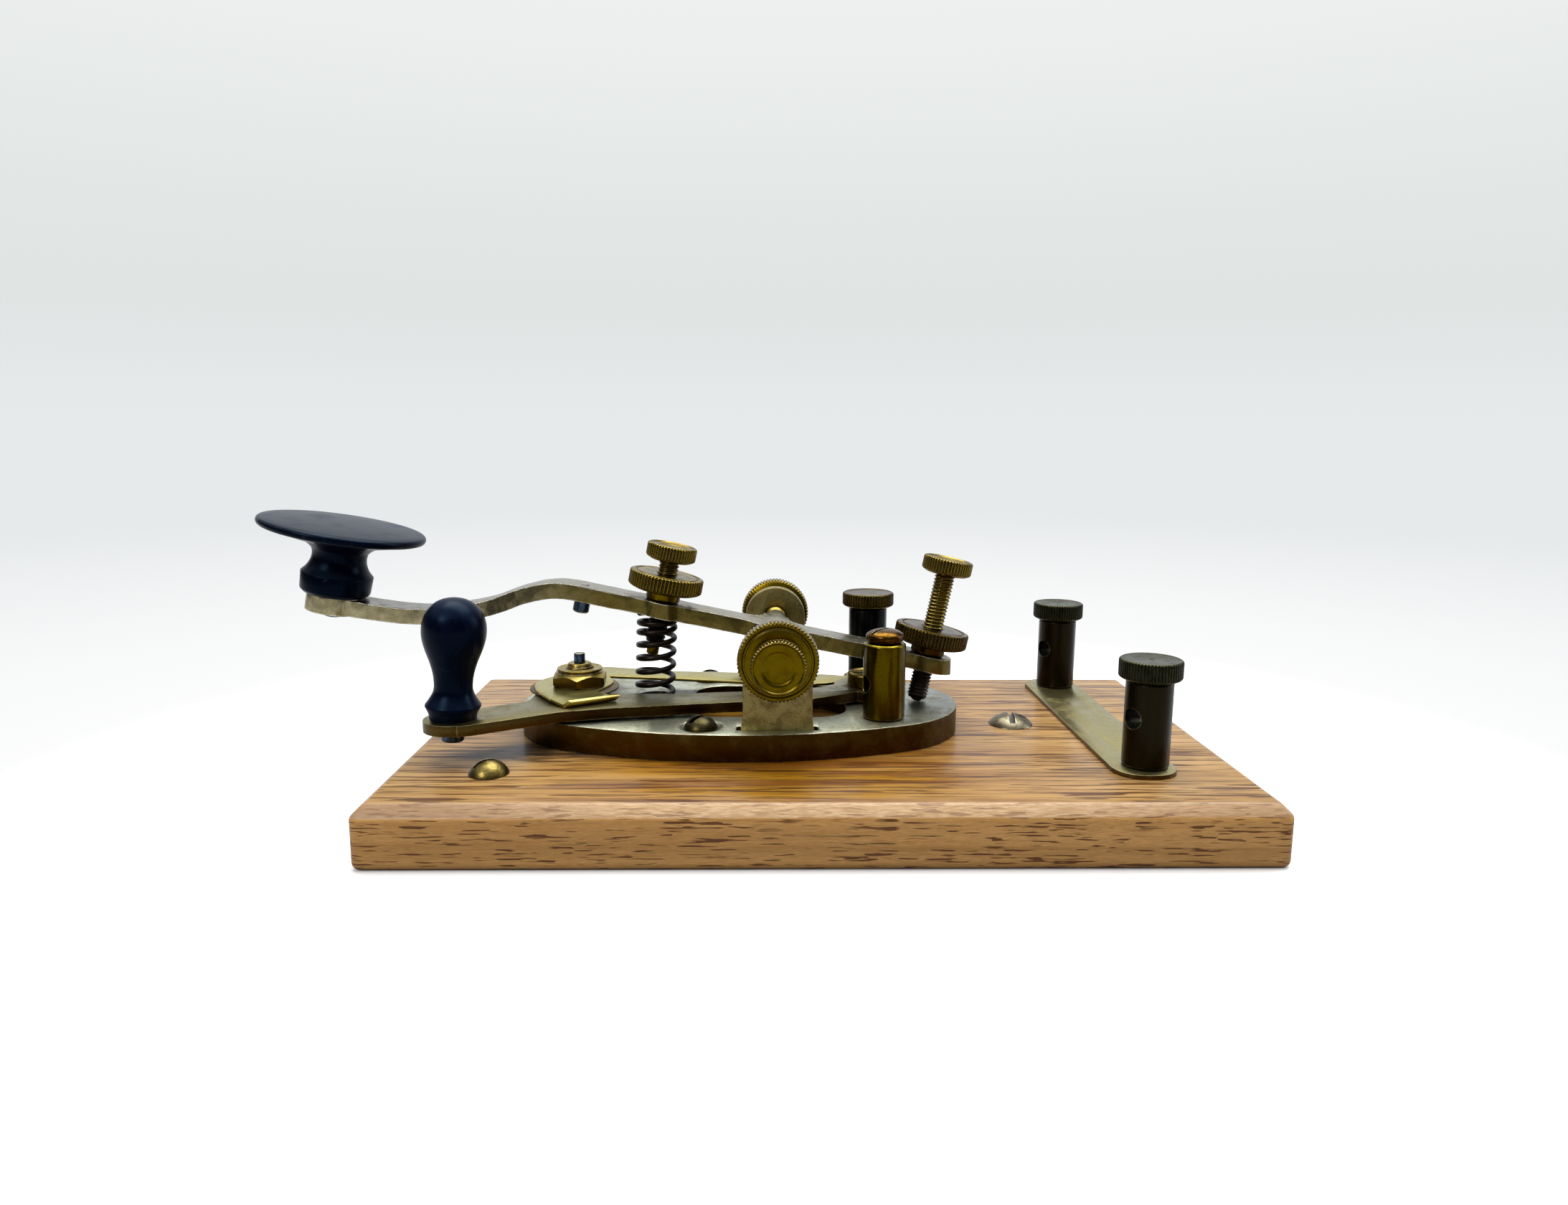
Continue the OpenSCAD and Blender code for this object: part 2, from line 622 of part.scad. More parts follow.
module knob_screw() {
    color([0.4, 0.38, 0.35]) on_pad() translate([0, 0, -pad_t - 1.3])
        cylinder(h = pad_t + 1.3 + 7.6, d = knob_screw_d);
}

// Contact pin riveted through the bar, with its face towards the anvil
module upper_contact() {
    color([0.6, 0.6, 0.62]) on_contact() translate([0, 0, -lever_t / 2 - contact_drop]) {
        cylinder(h = 0.3, d1 = contact_d - 0.6, d2 = contact_d);
        translate([0, 0, 0.3]) cylinder(h = contact_drop - 0.3 - face_clear, d = contact_d);
        translate([0, 0, 0.3]) cylinder(h = contact_drop + lever_t - 0.2, d = contact_d / 2);
    }
}

// Trunnion screw: journal, thread and knurled head along one axis
module trunnion_screw(side) {
    tip = cross_l / 2 - journal_l;
    shoulder = cross_l / 2 + pass_clear;
    head = ear_gap / 2 + ear_t + face_clear + nut_h + trunnion_head_stand;
    color([0.66, 0.55, 0.3]) on_trunnion(side) {
        translate([0, 0, tip]) cylinder(h = 0.4, d1 = journal_d - 0.8, d2 = journal_d);
        translate([0, 0, tip + 0.4]) cylinder(h = shoulder - tip, d = journal_d);
        translate([0, 0, shoulder]) cylinder(h = head - shoulder + 0.3, d = trunnion_screw_d);
        translate([0, 0, head]) knurled_head(head_d, head_band, head_teeth);
    }
}

module trunnion_screw_front() {
    trunnion_screw(-1);
}

module trunnion_screw_rear() {
    trunnion_screw(1);
}

module trunnion_nut(side) {
    color([0.6, 0.5, 0.26]) on_trunnion(side) translate([0, 0, ear_gap / 2 + ear_t + face_clear])
        lock_nut(trunnion_screw_d);
}

module trunnion_nut_front() {
    trunnion_nut(-1);
}

module trunnion_nut_rear() {
    trunnion_nut(1);
}

module spring_screw() {
    nut_top = lever_t / 2 + face_clear + nut_h;
    color([0.62, 0.52, 0.28]) on_bar(-spring_reach) {
        translate([0, 0, -spring_screw_below - spring_pin_l]) cylinder(h = spring_pin_l + 0.3,
            d = spring_pin_d);
        translate([0, 0, -spring_screw_below]) cylinder(h = spring_screw_below + nut_top
            + spring_head_stand + 0.3, d = adjust_d);
        translate([0, 0, nut_top + spring_head_stand]) knurled_head(head_d, head_band, head_teeth);
    }
}

module spring_nut() {
    color([0.6, 0.5, 0.26]) on_bar(-spring_reach) translate([0, 0, lever_t / 2 + face_clear])
        lock_nut(adjust_d);
}

// Depth of the gap screw's tip below the bar's middle, where it stops on the plate
gap_tip_d = 2;
gap_tip = (bar_z(gap_reach) - plate_top - face_clear / 2 - gap_tip_d / 2 * sin(lever_slope))
    / cos(lever_slope);

module gap_screw() {
    nut_top = lever_t / 2 + face_clear + nut_h;
    cone_h = 1.3;
    color([0.62, 0.52, 0.28]) on_bar(gap_reach) {
        translate([0, 0, -gap_tip]) cylinder(h = cone_h, d1 = gap_tip_d, d2 = adjust_d);
        translate([0, 0, cone_h - gap_tip]) cylinder(h = gap_tip - cone_h + nut_top + gap_head_stand
            + 0.3, d = adjust_d);
        translate([0, 0, nut_top + gap_head_stand]) knurled_head(head_d, head_band, head_teeth);
    }
}

module gap_nut() {
    color([0.6, 0.5, 0.26]) on_bar(gap_reach) translate([0, 0, lever_t / 2 + face_clear])
        lock_nut(adjust_d);
}

// Route of the spring's wire: a straight end, a bend, the coil, a bend and a straight end
spring_r = (spring_od - wire_d) / 2;
wire_bend = 1.2;
spring_foot_x = -spring_reach - 1.7;
spring_top_x = -spring_reach - 0.8;
spring_z0 = plate_top + wire_d + wire_bend;
spring_z1 = bar_under(spring_top_x - spring_r) - pass_clear - wire_d - wire_bend;
spring_steps = ceil(8 * spring_turns);
function spring_mid(z) = [trunnion_x + spring_foot_x + (spring_top_x - spring_foot_x) * (z - spring_z0)
    / (spring_z1 - spring_z0), key_y, z];
function spring_angle(k) = 180 - 360 * spring_turns * (1 - k / spring_steps);
function coil_at(k) = spring_mid(spring_z0 + (spring_z1 - spring_z0) * k / spring_steps)
    + spring_r * [cos(spring_angle(k)), sin(spring_angle(k)), 0];
function along(a) = [-sin(a), cos(a), 0];
function foot_bend(f) = coil_at(0) + wire_bend * ([0, 0, sin(f) - 1] - cos(f) * along(spring_angle(0)));
function top_bend(f) = coil_at(spring_steps) + wire_bend * ([0, 0, 1 - cos(f)]
    + sin(f) * along(spring_angle(spring_steps)));
spring_path = concat([foot_bend(0) - [0, 0, wire_d]], [for (f = [0, 30, 60]) foot_bend(f)],
    [for (k = [0:spring_steps]) coil_at(k)], [for (f = [30, 60, 90]) top_bend(f)],
    [top_bend(90) + [0, 0, wire_d]]);

// Directions at a point of a path: along it, outwards from the coil and across both
function unit(v) = v / norm(v);
function path_along(p, i) = i == 0 || i == len(p) - 1 ? [0, 0, 1] : unit(p[i + 1] - p[i - 1]);
function path_out(p, i) = let (m = spring_mid(p[i][2]), t = path_along(p, i),
    v = [p[i][0] - m[0], p[i][1] - m[1], 0]) unit(v - t * (v * t));
function path_ring(p, i, r, n) = let (o = path_out(p, i), c = cross(path_along(p, i), o))
    [for (k = [0:n - 1]) p[i] + r * (cos(360 * k / n) * o + sin(360 * k / n) * c)];

// Unbroken tube along a path, in triangles
module tube(p, d, n) {
    last = len(p) - 1;
    points = [for (i = [0:last]) each path_ring(p, i, d / 2, n)];
    walls = [for (i = [0:last - 1]) for (k = [0:n - 1]) let (a = i * n + k, b = i * n + (k + 1) % n)
        each [[a, a + n, b + n], [a, b + n, b]]];
    caps = [for (k = [1:n - 2]) each [[0, k, k + 1], [last * n, last * n + k + 1, last * n + k]]];
    polyhedron(points, concat(walls, caps));
}

// Least gap of the spring to itself, measured between points at least half a turn apart
spring_gap = min([for (i = [0:len(spring_path) - 1]) for (j = [i + 5:1:len(spring_path) - 1])
    norm(spring_path[i] - spring_path[j])]) - wire_d;
echo(str("least gap of the spring to itself: ", spring_gap, " mm"));

module return_spring() {
    color([0.16, 0.14, 0.13]) tube(spring_path, wire_d, 6);
}

// Anvil: flange under the plate, body through the stack and contact tip
module anvil_post() {
    tip_z = plate_top + anvil_rise;
    flange_z = board_t - under_washer_t;
    color([0.66, 0.56, 0.32]) at(anvil_at) {
        translate([0, 0, flange_z - fix_head_h]) cylinder(h = fix_head_h, d = anvil_d + 4.4);
        translate([0, 0, flange_z - 0.2]) cylinder(h = tip_z - anvil_tip_l - flange_z, d = anvil_d);
        translate([0, 0, tip_z - anvil_tip_l - 0.2]) cylinder(h = 0.4, d1 = anvil_d, d2 = anvil_d - 1.2);
        translate([0, 0, tip_z - anvil_tip_l]) cylinder(h = anvil_tip_l, d = anvil_tip_d);
    }
}

// Hexagon nut with a dome and a raised ring
module anvil_nut() {
    ring_d = anvil_d + 3.4;
    color([0.6, 0.52, 0.3]) at(anvil_at, strap_top) difference() {
        union() {
            rotate([0, 0, 33.5]) cylinder(h = hex_h, d = hex_corner_d, $fn = 6);
            translate([0, 0, hex_h]) cylinder(h = dome_h - 0.5, d1 = hex_corner_d * 0.9, d2 = ring_d + 0.4);
            translate([0, 0, hex_h + dome_h - 0.5]) cylinder(h = 0.5, d = ring_d);
        }
        translate([0, 0, -over]) cylinder(h = 4 * hex_h, d = anvil_d + 2 * thread_clear);
        translate([0, 0, hex_h + dome_h - 0.3]) cylinder(h = over, d = ring_d - 1.2);
    }
}

// Shouldered bush that keeps the anvil off the plate
module anvil_spacer() {
    color([0.36, 0.16, 0.1]) at(anvil_at) difference() {
        union() {
            translate([0, 0, plate_top]) cylinder(h = washer_under - plate_top, d = spacer_d);
            translate([0, 0, board_t]) cylinder(h = plate_t + 0.2, d = anvil_d + 3 - 2 * pivot_clear);
        }
        translate([0, 0, board_t - over]) cylinder(h = 4 * plate_t, d = anvil_d + 2 * pivot_clear);
    }
}

// Wide fibre washer between the spacer and the strap: it lies off centre on the anvil
module anvil_washer() {
    slip = 1.2;
    color([0.4, 0.24, 0.14]) at(anvil_at - [slip, 0], washer_under) difference() {
        cylinder(h = washer_t, d = washer_d);
        translate([0, 0, -over]) cylinder(h = 3 * over, d = anvil_d + 2 * slip + 0.4);
    }
}

// Flat ring between the plate and a fastener under it
module under_ring(p, d, bore_d) {
    at(p, board_t - under_washer_t) difference() {
        cylinder(h = under_washer_t, d = d);
        translate([0, 0, -over]) cylinder(h = under_washer_t + 2 * over, d = bore_d + 2 * pivot_clear);
    }
}

module anvil_lower_washer() {
    color([0.36, 0.16, 0.1]) under_ring(anvil_at, spacer_d, anvil_d);
}

// Plan of the strap: a lipped tab under the anvil's nut, then a strip to the far post
crease_a = anvil_at + [-0.7, -17.8];
crease_b = anvil_at + [9.6, -11.5];
crease_turn = atan2(crease_b[1] - crease_a[1], crease_b[0] - crease_a[0]);
ramp_l = 5;
lip_l = 1.2;
strap_end_r = post_d / 2 + 0.3;
step_x0 = trunnion_x - 5.2;
step_x1 = trunnion_x + 1.2;
ramp_back = ramp_l * [-sin(crease_turn), cos(crease_turn)];

module strap_flat() {
    far = far_post_at;
    tab = concat([anvil_at + [-9.1, -5.8], crease_a + ramp_back + [-1.1, -0.5],
        crease_b + ramp_back - [1.6, 1], anvil_at + [4.9, -6.8], anvil_at + [7, -1.2],
        anvil_at + [7.5, 2], anvil_at + [5.7, 7.4], anvil_at + [21.6, 4.8], [step_x0, key_y + 1.2],
        [step_x0, key_y + 10.8], anvil_at + [20.9, 12.5]], arc(anvil_at + [3.8, 11.6], 5.4, 80, 138, 6),
        arc(anvil_at, 10.3, 138, 196, 8));
    run = [[step_x0 - 0.1, key_y + 1.4], [step_x1, key_y + 4.1], [trunnion_x + 9.8, key_y + 7.2],
        [trunnion_x + 12.5, key_y + 7.9], far + [-8.6, -9.2], far + [-6.8, -7], far + [-2.7, -4],
        far + [-3, 1.6], far + [-5.4, -3], far + [-8.7, -1.7], far + [-11.8, -1.1],
        [step_x1, key_y + 13.4], [step_x0 - 0.1, key_y + 10.6]];
    slab(tab, 0, 2 * plate_top);
    slab(run, 0, 2 * plate_top);
    at(far) cylinder(h = 2 * plate_top, r = strap_end_r);
}

// Side view of the strap: level at the anvil, stepped down to the far post's washer
module strap_levels() {
    low = post_strap_under;
    view = [[anvil_at[0] - 20, strap_under], [step_x0, strap_under], [step_x1, low],
        [far_post_x + 8, low], [far_post_x + 8, low + strap_t], [step_x1 + 0.2, low + strap_t],
        [step_x0 + 0.2, strap_top], [anvil_at[0] - 20, strap_top]];
    rotate([90, 0, 0]) linear_extrude(2 * board_w, center = true) polygon(view);
}

// Spring lip of the tab: it dips to the closer's arm and turns up again
module strap_lip() {
    low = arm_top + 2 * face_clear;
    view = [[-ramp_l - 0.5, strap_under], [-ramp_l, strap_under], [-0.2, low], [0.2, low],
        [lip_l, low + lip_l], [lip_l - 0.45, low + lip_l + 0.45], [0, low + strap_t + 0.1],
        [-ramp_l, strap_top], [-ramp_l - 0.5, strap_top]];
    out = lip_l * [sin(crease_turn), -cos(crease_turn)];
    plan = [crease_a + ramp_back + [-2, 0.6], crease_a, crease_a + out + [1.2, 0.7],
        crease_b + out + [0.7, 0.4], crease_b, crease_b + ramp_back + [-0.9, -0.6]];
    intersection() {
        at(crease_a) rotate([0, 0, crease_turn]) rotate([90, 0, 90]) translate([0, 0, -15])
            linear_extrude(40) mirror([1, 0, 0]) polygon(view);
        slab(plan, 0, 2 * plate_top);
    }
}

module contact_strap() {
    color([0.58, 0.54, 0.4]) difference() {
        union() {
            intersection() {
                strap_flat();
                strap_levels();
            }
            strap_lip();
        }
        at(anvil_at) cylinder(h = 2 * plate_top, d = anvil_d + 0.2);
        at(far_post_at) cylinder(h = 2 * plate_top, d = fix_screw_d + 0.2);
    }
}

// Plan of the closer's arm: rear edge hollowed round the anvil's insulator
arm_hollow_r = spacer_d / 2 + arm_gap + 0.3;
arm_rear_y = key_y - spring_od / 2 - pass_clear - 0.2;
module closer_arm() {
    front = [pivot_at + [-2.8, -7.2], pivot_at + [-13.2, -13.4], pivot_at + [-29.2, -16.1],
        pivot_at + [-57.8, -21.5], pivot_at + [-67.8, -24.5], handle_at + [5.4, -5.2],
        handle_at + [2.5, -6.5]];
    rear = concat([handle_at + [1.6, 6.4], handle_at + [4.5, 8.4], handle_at + [8, 10.6],
        anvil_at + [-10.2, -12.3], anvil_at + [-9.4, -10.8], anvil_at + [-9.1, -5.4]],
        arc(anvil_at, arm_hollow_r, 196, 318, 12),
        [[anvil_at[0] + 10.6, arm_rear_y], [trunnion_x - spring_reach + 4, arm_rear_y],
        [trunnion_x - 7.7, key_y - 3.1], [pivot_at[0] - 12.8, key_y + 0.3], [pivot_at[0] - 10.4, key_y + 1.3]],
        smooth([[pivot_at[0] - 10.4, key_y + 1.3], [pivot_at[0] - 7.3, key_y + 4.4],
        [pivot_at[0] - 5.6, pivot_at[1] + 4.6]], 4));
    color([0.62, 0.55, 0.38]) difference() {
        union() {
            slab(concat(front, rear, [pivot_at]), arm_under, arm_top);
            at(pivot_at, arm_under) cylinder(h = arm_t, r = arm_pivot_r);
            at(handle_at + [0.3, 0], arm_under) cylinder(h = arm_t, r = arm_end_r);
        }
        at(pivot_at, arm_under - over) cylinder(h = arm_t + 2 * over, d = clamp_d + 3 + 2 * pivot_clear);
        on_handle() translate([0, 0, -arm_t - 2 * over])
            cylinder(h = arm_t + 4 * over, d = stud_d + 2 * thread_clear);
    }
}

module closer_washer() {
    color([0.5, 0.44, 0.28]) at(pivot_at, plate_top) difference() {
        cylinder(h = arm_washer_t - face_clear, r = arm_pivot_r - 1.6);
        translate([0, 0, -over]) cylinder(h = 3 * over, d = clamp_d + 3 + 2 * pivot_clear);
    }
}

// Shouldered screw on which the closer turns
module closer_pivot_screw() {
    head_z = arm_top + face_clear;
    color([0.5, 0.44, 0.26]) at(pivot_at) difference() {
        union() {
            translate([0, 0, board_t + 0.4]) cylinder(h = plate_t, d = clamp_d + 1.2);
            translate([0, 0, plate_top]) cylinder(h = head_z - plate_top + 0.3, d = clamp_d + 3);
            translate([0, 0, head_z]) cylinder(h = pivot_head_h - 0.4, d = pivot_head_d);
            translate([0, 0, head_z + pivot_head_h - 0.4]) cylinder(h = 0.4, d1 = pivot_head_d,
                d2 = pivot_head_d - 0.8);
        }
        translate([0, 0, head_z + pivot_head_h - 0.5]) cylinder(h = over, d = pivot_head_d - 2.4);
        translate([-pivot_head_d, -0.6, head_z + pivot_head_h - 1.3]) cube([2 * pivot_head_d, 1.2, 2]);
    }
}

// Place of the handle on the arm, leaning towards the terminal posts
module on_handle() {
    at(handle_at, arm_top) rotate([0, handle_lean, 0]) children();
}

module closer_handle() {
    r = handle_d / 2;
    outline = concat([[0, -0.5], [r * 0.73, -0.5], [r * 0.73, 0.3], [r * 0.77, 1.4], [r * 0.87, 2.7]],
        smooth([[r * 0.87, 3], [r * 0.73, 4.4], [r * 0.625, 5.8], [r * 0.6, 7.3], [r * 0.64, 9.7],
            [r * 0.745, 12.2], [r * 0.88, 14.6], [r * 0.97, 16.7], [r, handle_h - 7],
            [r * 0.975, handle_h - 5.2], [r * 0.87, handle_h - 3.2], [r * 0.64, handle_h - 1.4],
            [r * 0.34, handle_h - 0.35], [0, handle_h]], 3));
    color([0.05, 0.07, 0.16]) difference() {
        on_handle() difference() {
            rotate_extrude($fn = 72) polygon(outline);
            translate([0, 0, -over]) cylinder(h = 8.4 + over, d = stud_d + 2 * thread_clear);
        }
        at(handle_at, arm_top - 4) cylinder(h = 4, d = 3 * handle_d);
    }
}

module closer_handle_stud() {
    color([0.3, 0.28, 0.26]) on_handle() translate([0, 0, -arm_t - stud_below])
        cylinder(h = arm_t + stud_below + 8, d = stud_d);
}

module plate_post_front() {
    color([0.5, 0.45, 0.2]) at(near_post_at, plate_top) wire_post(post_d, post_h, post_hole_d,
        post_hole_h, post_hole_turn);
}

module plate_post_rear() {
    color([0.12, 0.13, 0.13]) at(far_post_at, post_strap_top) wire_post(post_d, post_h, post_hole_d,
        post_hole_h, far_hole_turn);
}

// Coppery round head with a worn slot
module clamp_screw_front() {
    color([0.62, 0.4, 0.22]) at(near_post_at, plate_top + post_h + face_clear) {
        cylinder(h = 0.9, d1 = clamp_head_d - 2.8, d2 = clamp_head_d - 0.2);
        translate([0, 0, 0.8]) slotted_head(clamp_head_d, 2.1, 1, 35);
        clamp_shank(post_h, post_hole_d, post_hole_h);
    }
}

module thumbscrew_rear() {
    color([0.64, 0.56, 0.34]) at(far_post_at, post_strap_top + post_h + face_clear) {
        knurled_head(post_head_d, head_band, head_teeth);
        clamp_shank(post_h, post_hole_d, post_hole_h);
    }
}

// Fixing screw that holds a post down, with its head under the given height
module fixing_screw(p, head_z, foot_z, depth) {
    at(p, head_z - fix_head_h) difference() {
        union() {
            cylinder(h = fix_head_h, d = fix_head_d);
            cylinder(h = foot_z - head_z + fix_head_h + depth, d = fix_screw_d);
        }
        translate([-fix_head_d, -0.6, -over]) cube([2 * fix_head_d, 1.2, over + 1.1]);
    }
}

module post_screw_front() {
    color([0.55, 0.5, 0.4]) fixing_screw(near_post_at, board_t + fix_head_h + 0.2, plate_top,
        fix_depth(post_hole_d, post_hole_h) - 0.4);
}

module post_screw_rear() {
    color([0.55, 0.5, 0.4]) fixing_screw(far_post_at, board_t - under_washer_t, post_strap_top,
        fix_depth(post_hole_d, post_hole_h) - 0.4);
}

module rear_post_insulator() {
    color([0.36, 0.16, 0.1]) at(far_post_at) difference() {
        union() {
            translate([0, 0, plate_top]) cylinder(h = post_insulator_t, r = strap_end_r + 0.8);
            translate([0, 0, board_t]) cylinder(h = plate_t + 0.2, d = fix_screw_d + 4 - 2 * pivot_clear);
        }
        translate([0, 0, board_t - over]) cylinder(h = 4 * plate_t, d = fix_screw_d + 2 * pivot_clear);
    }
}

module rear_post_lower_insulator() {
    color([0.36, 0.16, 0.1]) under_ring(far_post_at, 12, fix_screw_d);
}

// Wood screw: slotted round head on a plain shank that ends in a point
module wood_screw(d, h, shank_l, slot_w, turn) {
    slotted_head(d, h, slot_w, turn);
    translate([0, 0, 2 - shank_l]) cylinder(h = shank_l - 1.9, d = shank_d);
    translate([0, 0, -shank_l]) cylinder(h = 2, d1 = 0.6, d2 = shank_d);
}

module plate_screws() {
    color([0.4, 0.37, 0.3]) for (i = [0, 1]) at(plate_screw_at[i], plate_top - 0.4) {
        wood_screw(7.8, 2.8, plate_t + 8, 1.1, i == 0 ? 70 : 20);
        translate([0, 0, -0.5]) cylinder(h = 0.6, d1 = 6.8, d2 = 7.8);
    }
}

module board_screw_brass() {
    color([0.6, 0.55, 0.25]) at(brass_screw_at, board_t) wood_screw(8.2, 3, 9.6, 1, 30);
}

module board_screw_steel() {
    color([0.7, 0.7, 0.68]) at(steel_screw_at, board_t) wood_screw(10.4, 2.6, 9.6, 1.3, 85);
}

module terminal_strip() {
    l = terminal_pitch + 2 * strip_over;
    color([0.55, 0.52, 0.34]) difference() {
        at(strip_at) rotate([0, 0, strip_turn]) slab(rounded(strip_w, l, 6, 8), board_t, strip_top);
        for (p = [terminal_near_at, terminal_far_at]) at(p, board_t - over)
            cylinder(h = strip_t + 2 * over, d = fix_screw_d + 0.3);
    }
}

module terminal_post_front() {
    color([0.16, 0.15, 0.12]) at(terminal_near_at, strip_top)
        wire_post(terminal_d, terminal_h, terminal_hole_d, terminal_hole_h, terminal_hole_turn);
}

module terminal_post_rear() {
    color([0.16, 0.15, 0.12]) at(terminal_far_at, strip_top)
        wire_post(terminal_d, terminal_h, terminal_hole_d, terminal_hole_h, terminal_hole_turn);
}

module terminal_thumbscrew(p) {
    color([0.2, 0.2, 0.15]) at(p, strip_top + terminal_h + face_clear) {
        knurled_head(terminal_head_d, nut_band, nut_teeth);
        clamp_shank(terminal_h, terminal_hole_d, terminal_hole_h);
    }
}

module terminal_thumbscrew_front() {
    terminal_thumbscrew(terminal_near_at);
}

module terminal_thumbscrew_rear() {
    terminal_thumbscrew(terminal_far_at);
}

module terminal_fixing_screws() {
    color([0.55, 0.5, 0.4]) for (p = [terminal_near_at, terminal_far_at])
        fixing_screw(p, fix_head_h + 1.6, strip_top, fix_depth(terminal_hole_d, terminal_hole_h) - 0.4);
}

base_board();
key_plate();
trunnion_ear_front();
trunnion_ear_rear();
lever();
lever_knob();
knob_screw();
upper_contact();
trunnion_screw_front();
trunnion_screw_rear();
trunnion_nut_front();
trunnion_nut_rear();
spring_screw();
spring_nut();
return_spring();
gap_screw();
gap_nut();
anvil_post();
anvil_nut();
anvil_washer();
anvil_spacer();
anvil_lower_washer();
contact_strap();
closer_arm();
closer_washer();
closer_pivot_screw();
closer_handle();
closer_handle_stud();
plate_post_front();
plate_post_rear();
clamp_screw_front();
thumbscrew_rear();
post_screw_front();
post_screw_rear();
rear_post_insulator();
rear_post_lower_insulator();
plate_screws();
board_screw_brass();
board_screw_steel();
terminal_strip();
terminal_post_front();
terminal_post_rear();
terminal_thumbscrew_front();
terminal_thumbscrew_rear();
terminal_fixing_screws();
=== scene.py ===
"""Straight telegraph key on an oak board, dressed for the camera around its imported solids."""
import json
from math import asin, cos, degrees, pi, radians, sin, tan

import bmesh
import bpy
from mathutils import Matrix, Vector, noise

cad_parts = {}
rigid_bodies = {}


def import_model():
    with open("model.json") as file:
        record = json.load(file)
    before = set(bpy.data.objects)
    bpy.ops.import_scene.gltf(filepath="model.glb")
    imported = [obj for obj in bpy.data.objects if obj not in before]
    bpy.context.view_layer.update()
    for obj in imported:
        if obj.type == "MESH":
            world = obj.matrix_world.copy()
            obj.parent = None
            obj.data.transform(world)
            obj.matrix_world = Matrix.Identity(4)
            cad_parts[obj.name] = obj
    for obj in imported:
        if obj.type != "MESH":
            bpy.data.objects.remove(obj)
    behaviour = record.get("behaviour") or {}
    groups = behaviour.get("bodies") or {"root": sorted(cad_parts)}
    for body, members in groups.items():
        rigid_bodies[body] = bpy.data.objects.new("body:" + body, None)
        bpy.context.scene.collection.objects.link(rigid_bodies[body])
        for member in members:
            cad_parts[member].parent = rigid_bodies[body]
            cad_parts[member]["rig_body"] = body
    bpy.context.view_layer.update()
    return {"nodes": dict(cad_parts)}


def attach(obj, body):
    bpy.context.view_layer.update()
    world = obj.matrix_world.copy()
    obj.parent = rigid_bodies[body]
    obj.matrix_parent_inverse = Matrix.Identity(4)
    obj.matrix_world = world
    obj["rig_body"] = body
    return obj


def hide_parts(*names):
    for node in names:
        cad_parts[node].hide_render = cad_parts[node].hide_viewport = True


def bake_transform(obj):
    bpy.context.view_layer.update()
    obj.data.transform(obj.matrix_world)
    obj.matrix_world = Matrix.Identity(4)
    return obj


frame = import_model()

# The view: the camera stands in front of the board and a little above the key, where the
# photograph was taken from. Its place and tilt follow from the board's corners.
mm = 0.001
focal_px, image_w = 1500, 2186
camera_at = Vector((-11.87, -241.4, 83.95)) * mm
yaw, pitch, roll = -0.02, 0.17, 0.0054
film_w = 36


def linked(name, data):
    """Object of a mesh, a camera or a lamp, in the scene"""
    made = bpy.data.objects.new(name, data)
    bpy.context.scene.collection.objects.link(made)
    return made


ahead = Vector((-sin(yaw) * cos(pitch), cos(yaw) * cos(pitch), -sin(pitch)))
right = Vector((cos(yaw), sin(yaw), 0))
above = right.cross(ahead)
camera = linked("camera", bpy.data.cameras.new("camera"))
camera.data.sensor_fit = "HORIZONTAL"
camera.data.sensor_width = film_w
camera.data.lens = focal_px * film_w / image_w
camera.data.clip_start = 0.01
aim = Matrix((right * cos(roll) + above * sin(roll),
              above * cos(roll) - right * sin(roll), -ahead)).transposed().to_4x4()
aim.translation = camera_at
camera.matrix_world = aim
bpy.context.scene.camera = camera
bpy.context.scene.view_settings.view_transform = "Standard"


# The stage: a white photographer's table that runs into a pale grey-blue backdrop, under a wide
# soft lamp overhead and two weak ones. The side that the camera stands on is a darker room.
def put(tree, value, socket):
    if isinstance(value, bpy.types.NodeSocket):
        tree.links.new(value, socket)
    else:
        socket.default_value = value


def node(tree, kind, wires=(), **settings):
    made = tree.nodes.new(kind)
    for key, value in settings.items():
        setattr(made, key, value)
    for key, value in dict(wires).items():
        put(tree, value, made.inputs[key])
    return made


def span(tree, value, low, high, to_low=0.0, to_high=1.0):
    """Smooth step of a value from low to high"""
    return node(tree, "ShaderNodeMapRange", {"Value": value, "From Min": low, "From Max": high,
                "To Min": to_low, "To Max": to_high}, interpolation_type="SMOOTHSTEP").outputs[0]


def mix(tree, share, first, second):
    """Colour between two colours"""
    made = node(tree, "ShaderNodeMix", {0: share}, data_type="RGBA")
    for socket, value in ((made.inputs[6], first), (made.inputs[7], second)):
        put(tree, value if isinstance(value, bpy.types.NodeSocket) else (*value, 1), socket)
    return made.outputs[2]


def maths(tree, way, first, second):
    """Any operation of the node on two numbers, its outcome kept between 0 and 1"""
    return node(tree, "ShaderNodeMath", {0: first, 1: second}, operation=way, use_clamp=True).outputs[0]


def times(tree, first, second):
    return maths(tree, "MULTIPLY", first, second)


def point(tree, kind="Object"):
    """Object coordinates of the point that is shaded, or its Normal"""
    return node(tree, "ShaderNodeTexCoord").outputs[kind]


def axes(tree, vector):
    """X, Y and Z of a vector"""
    return node(tree, "ShaderNodeSeparateXYZ", {0: vector}).outputs


def length(tree, vector):
    return node(tree, "ShaderNodeVectorMath", {0: vector}, operation="LENGTH").outputs["Value"]


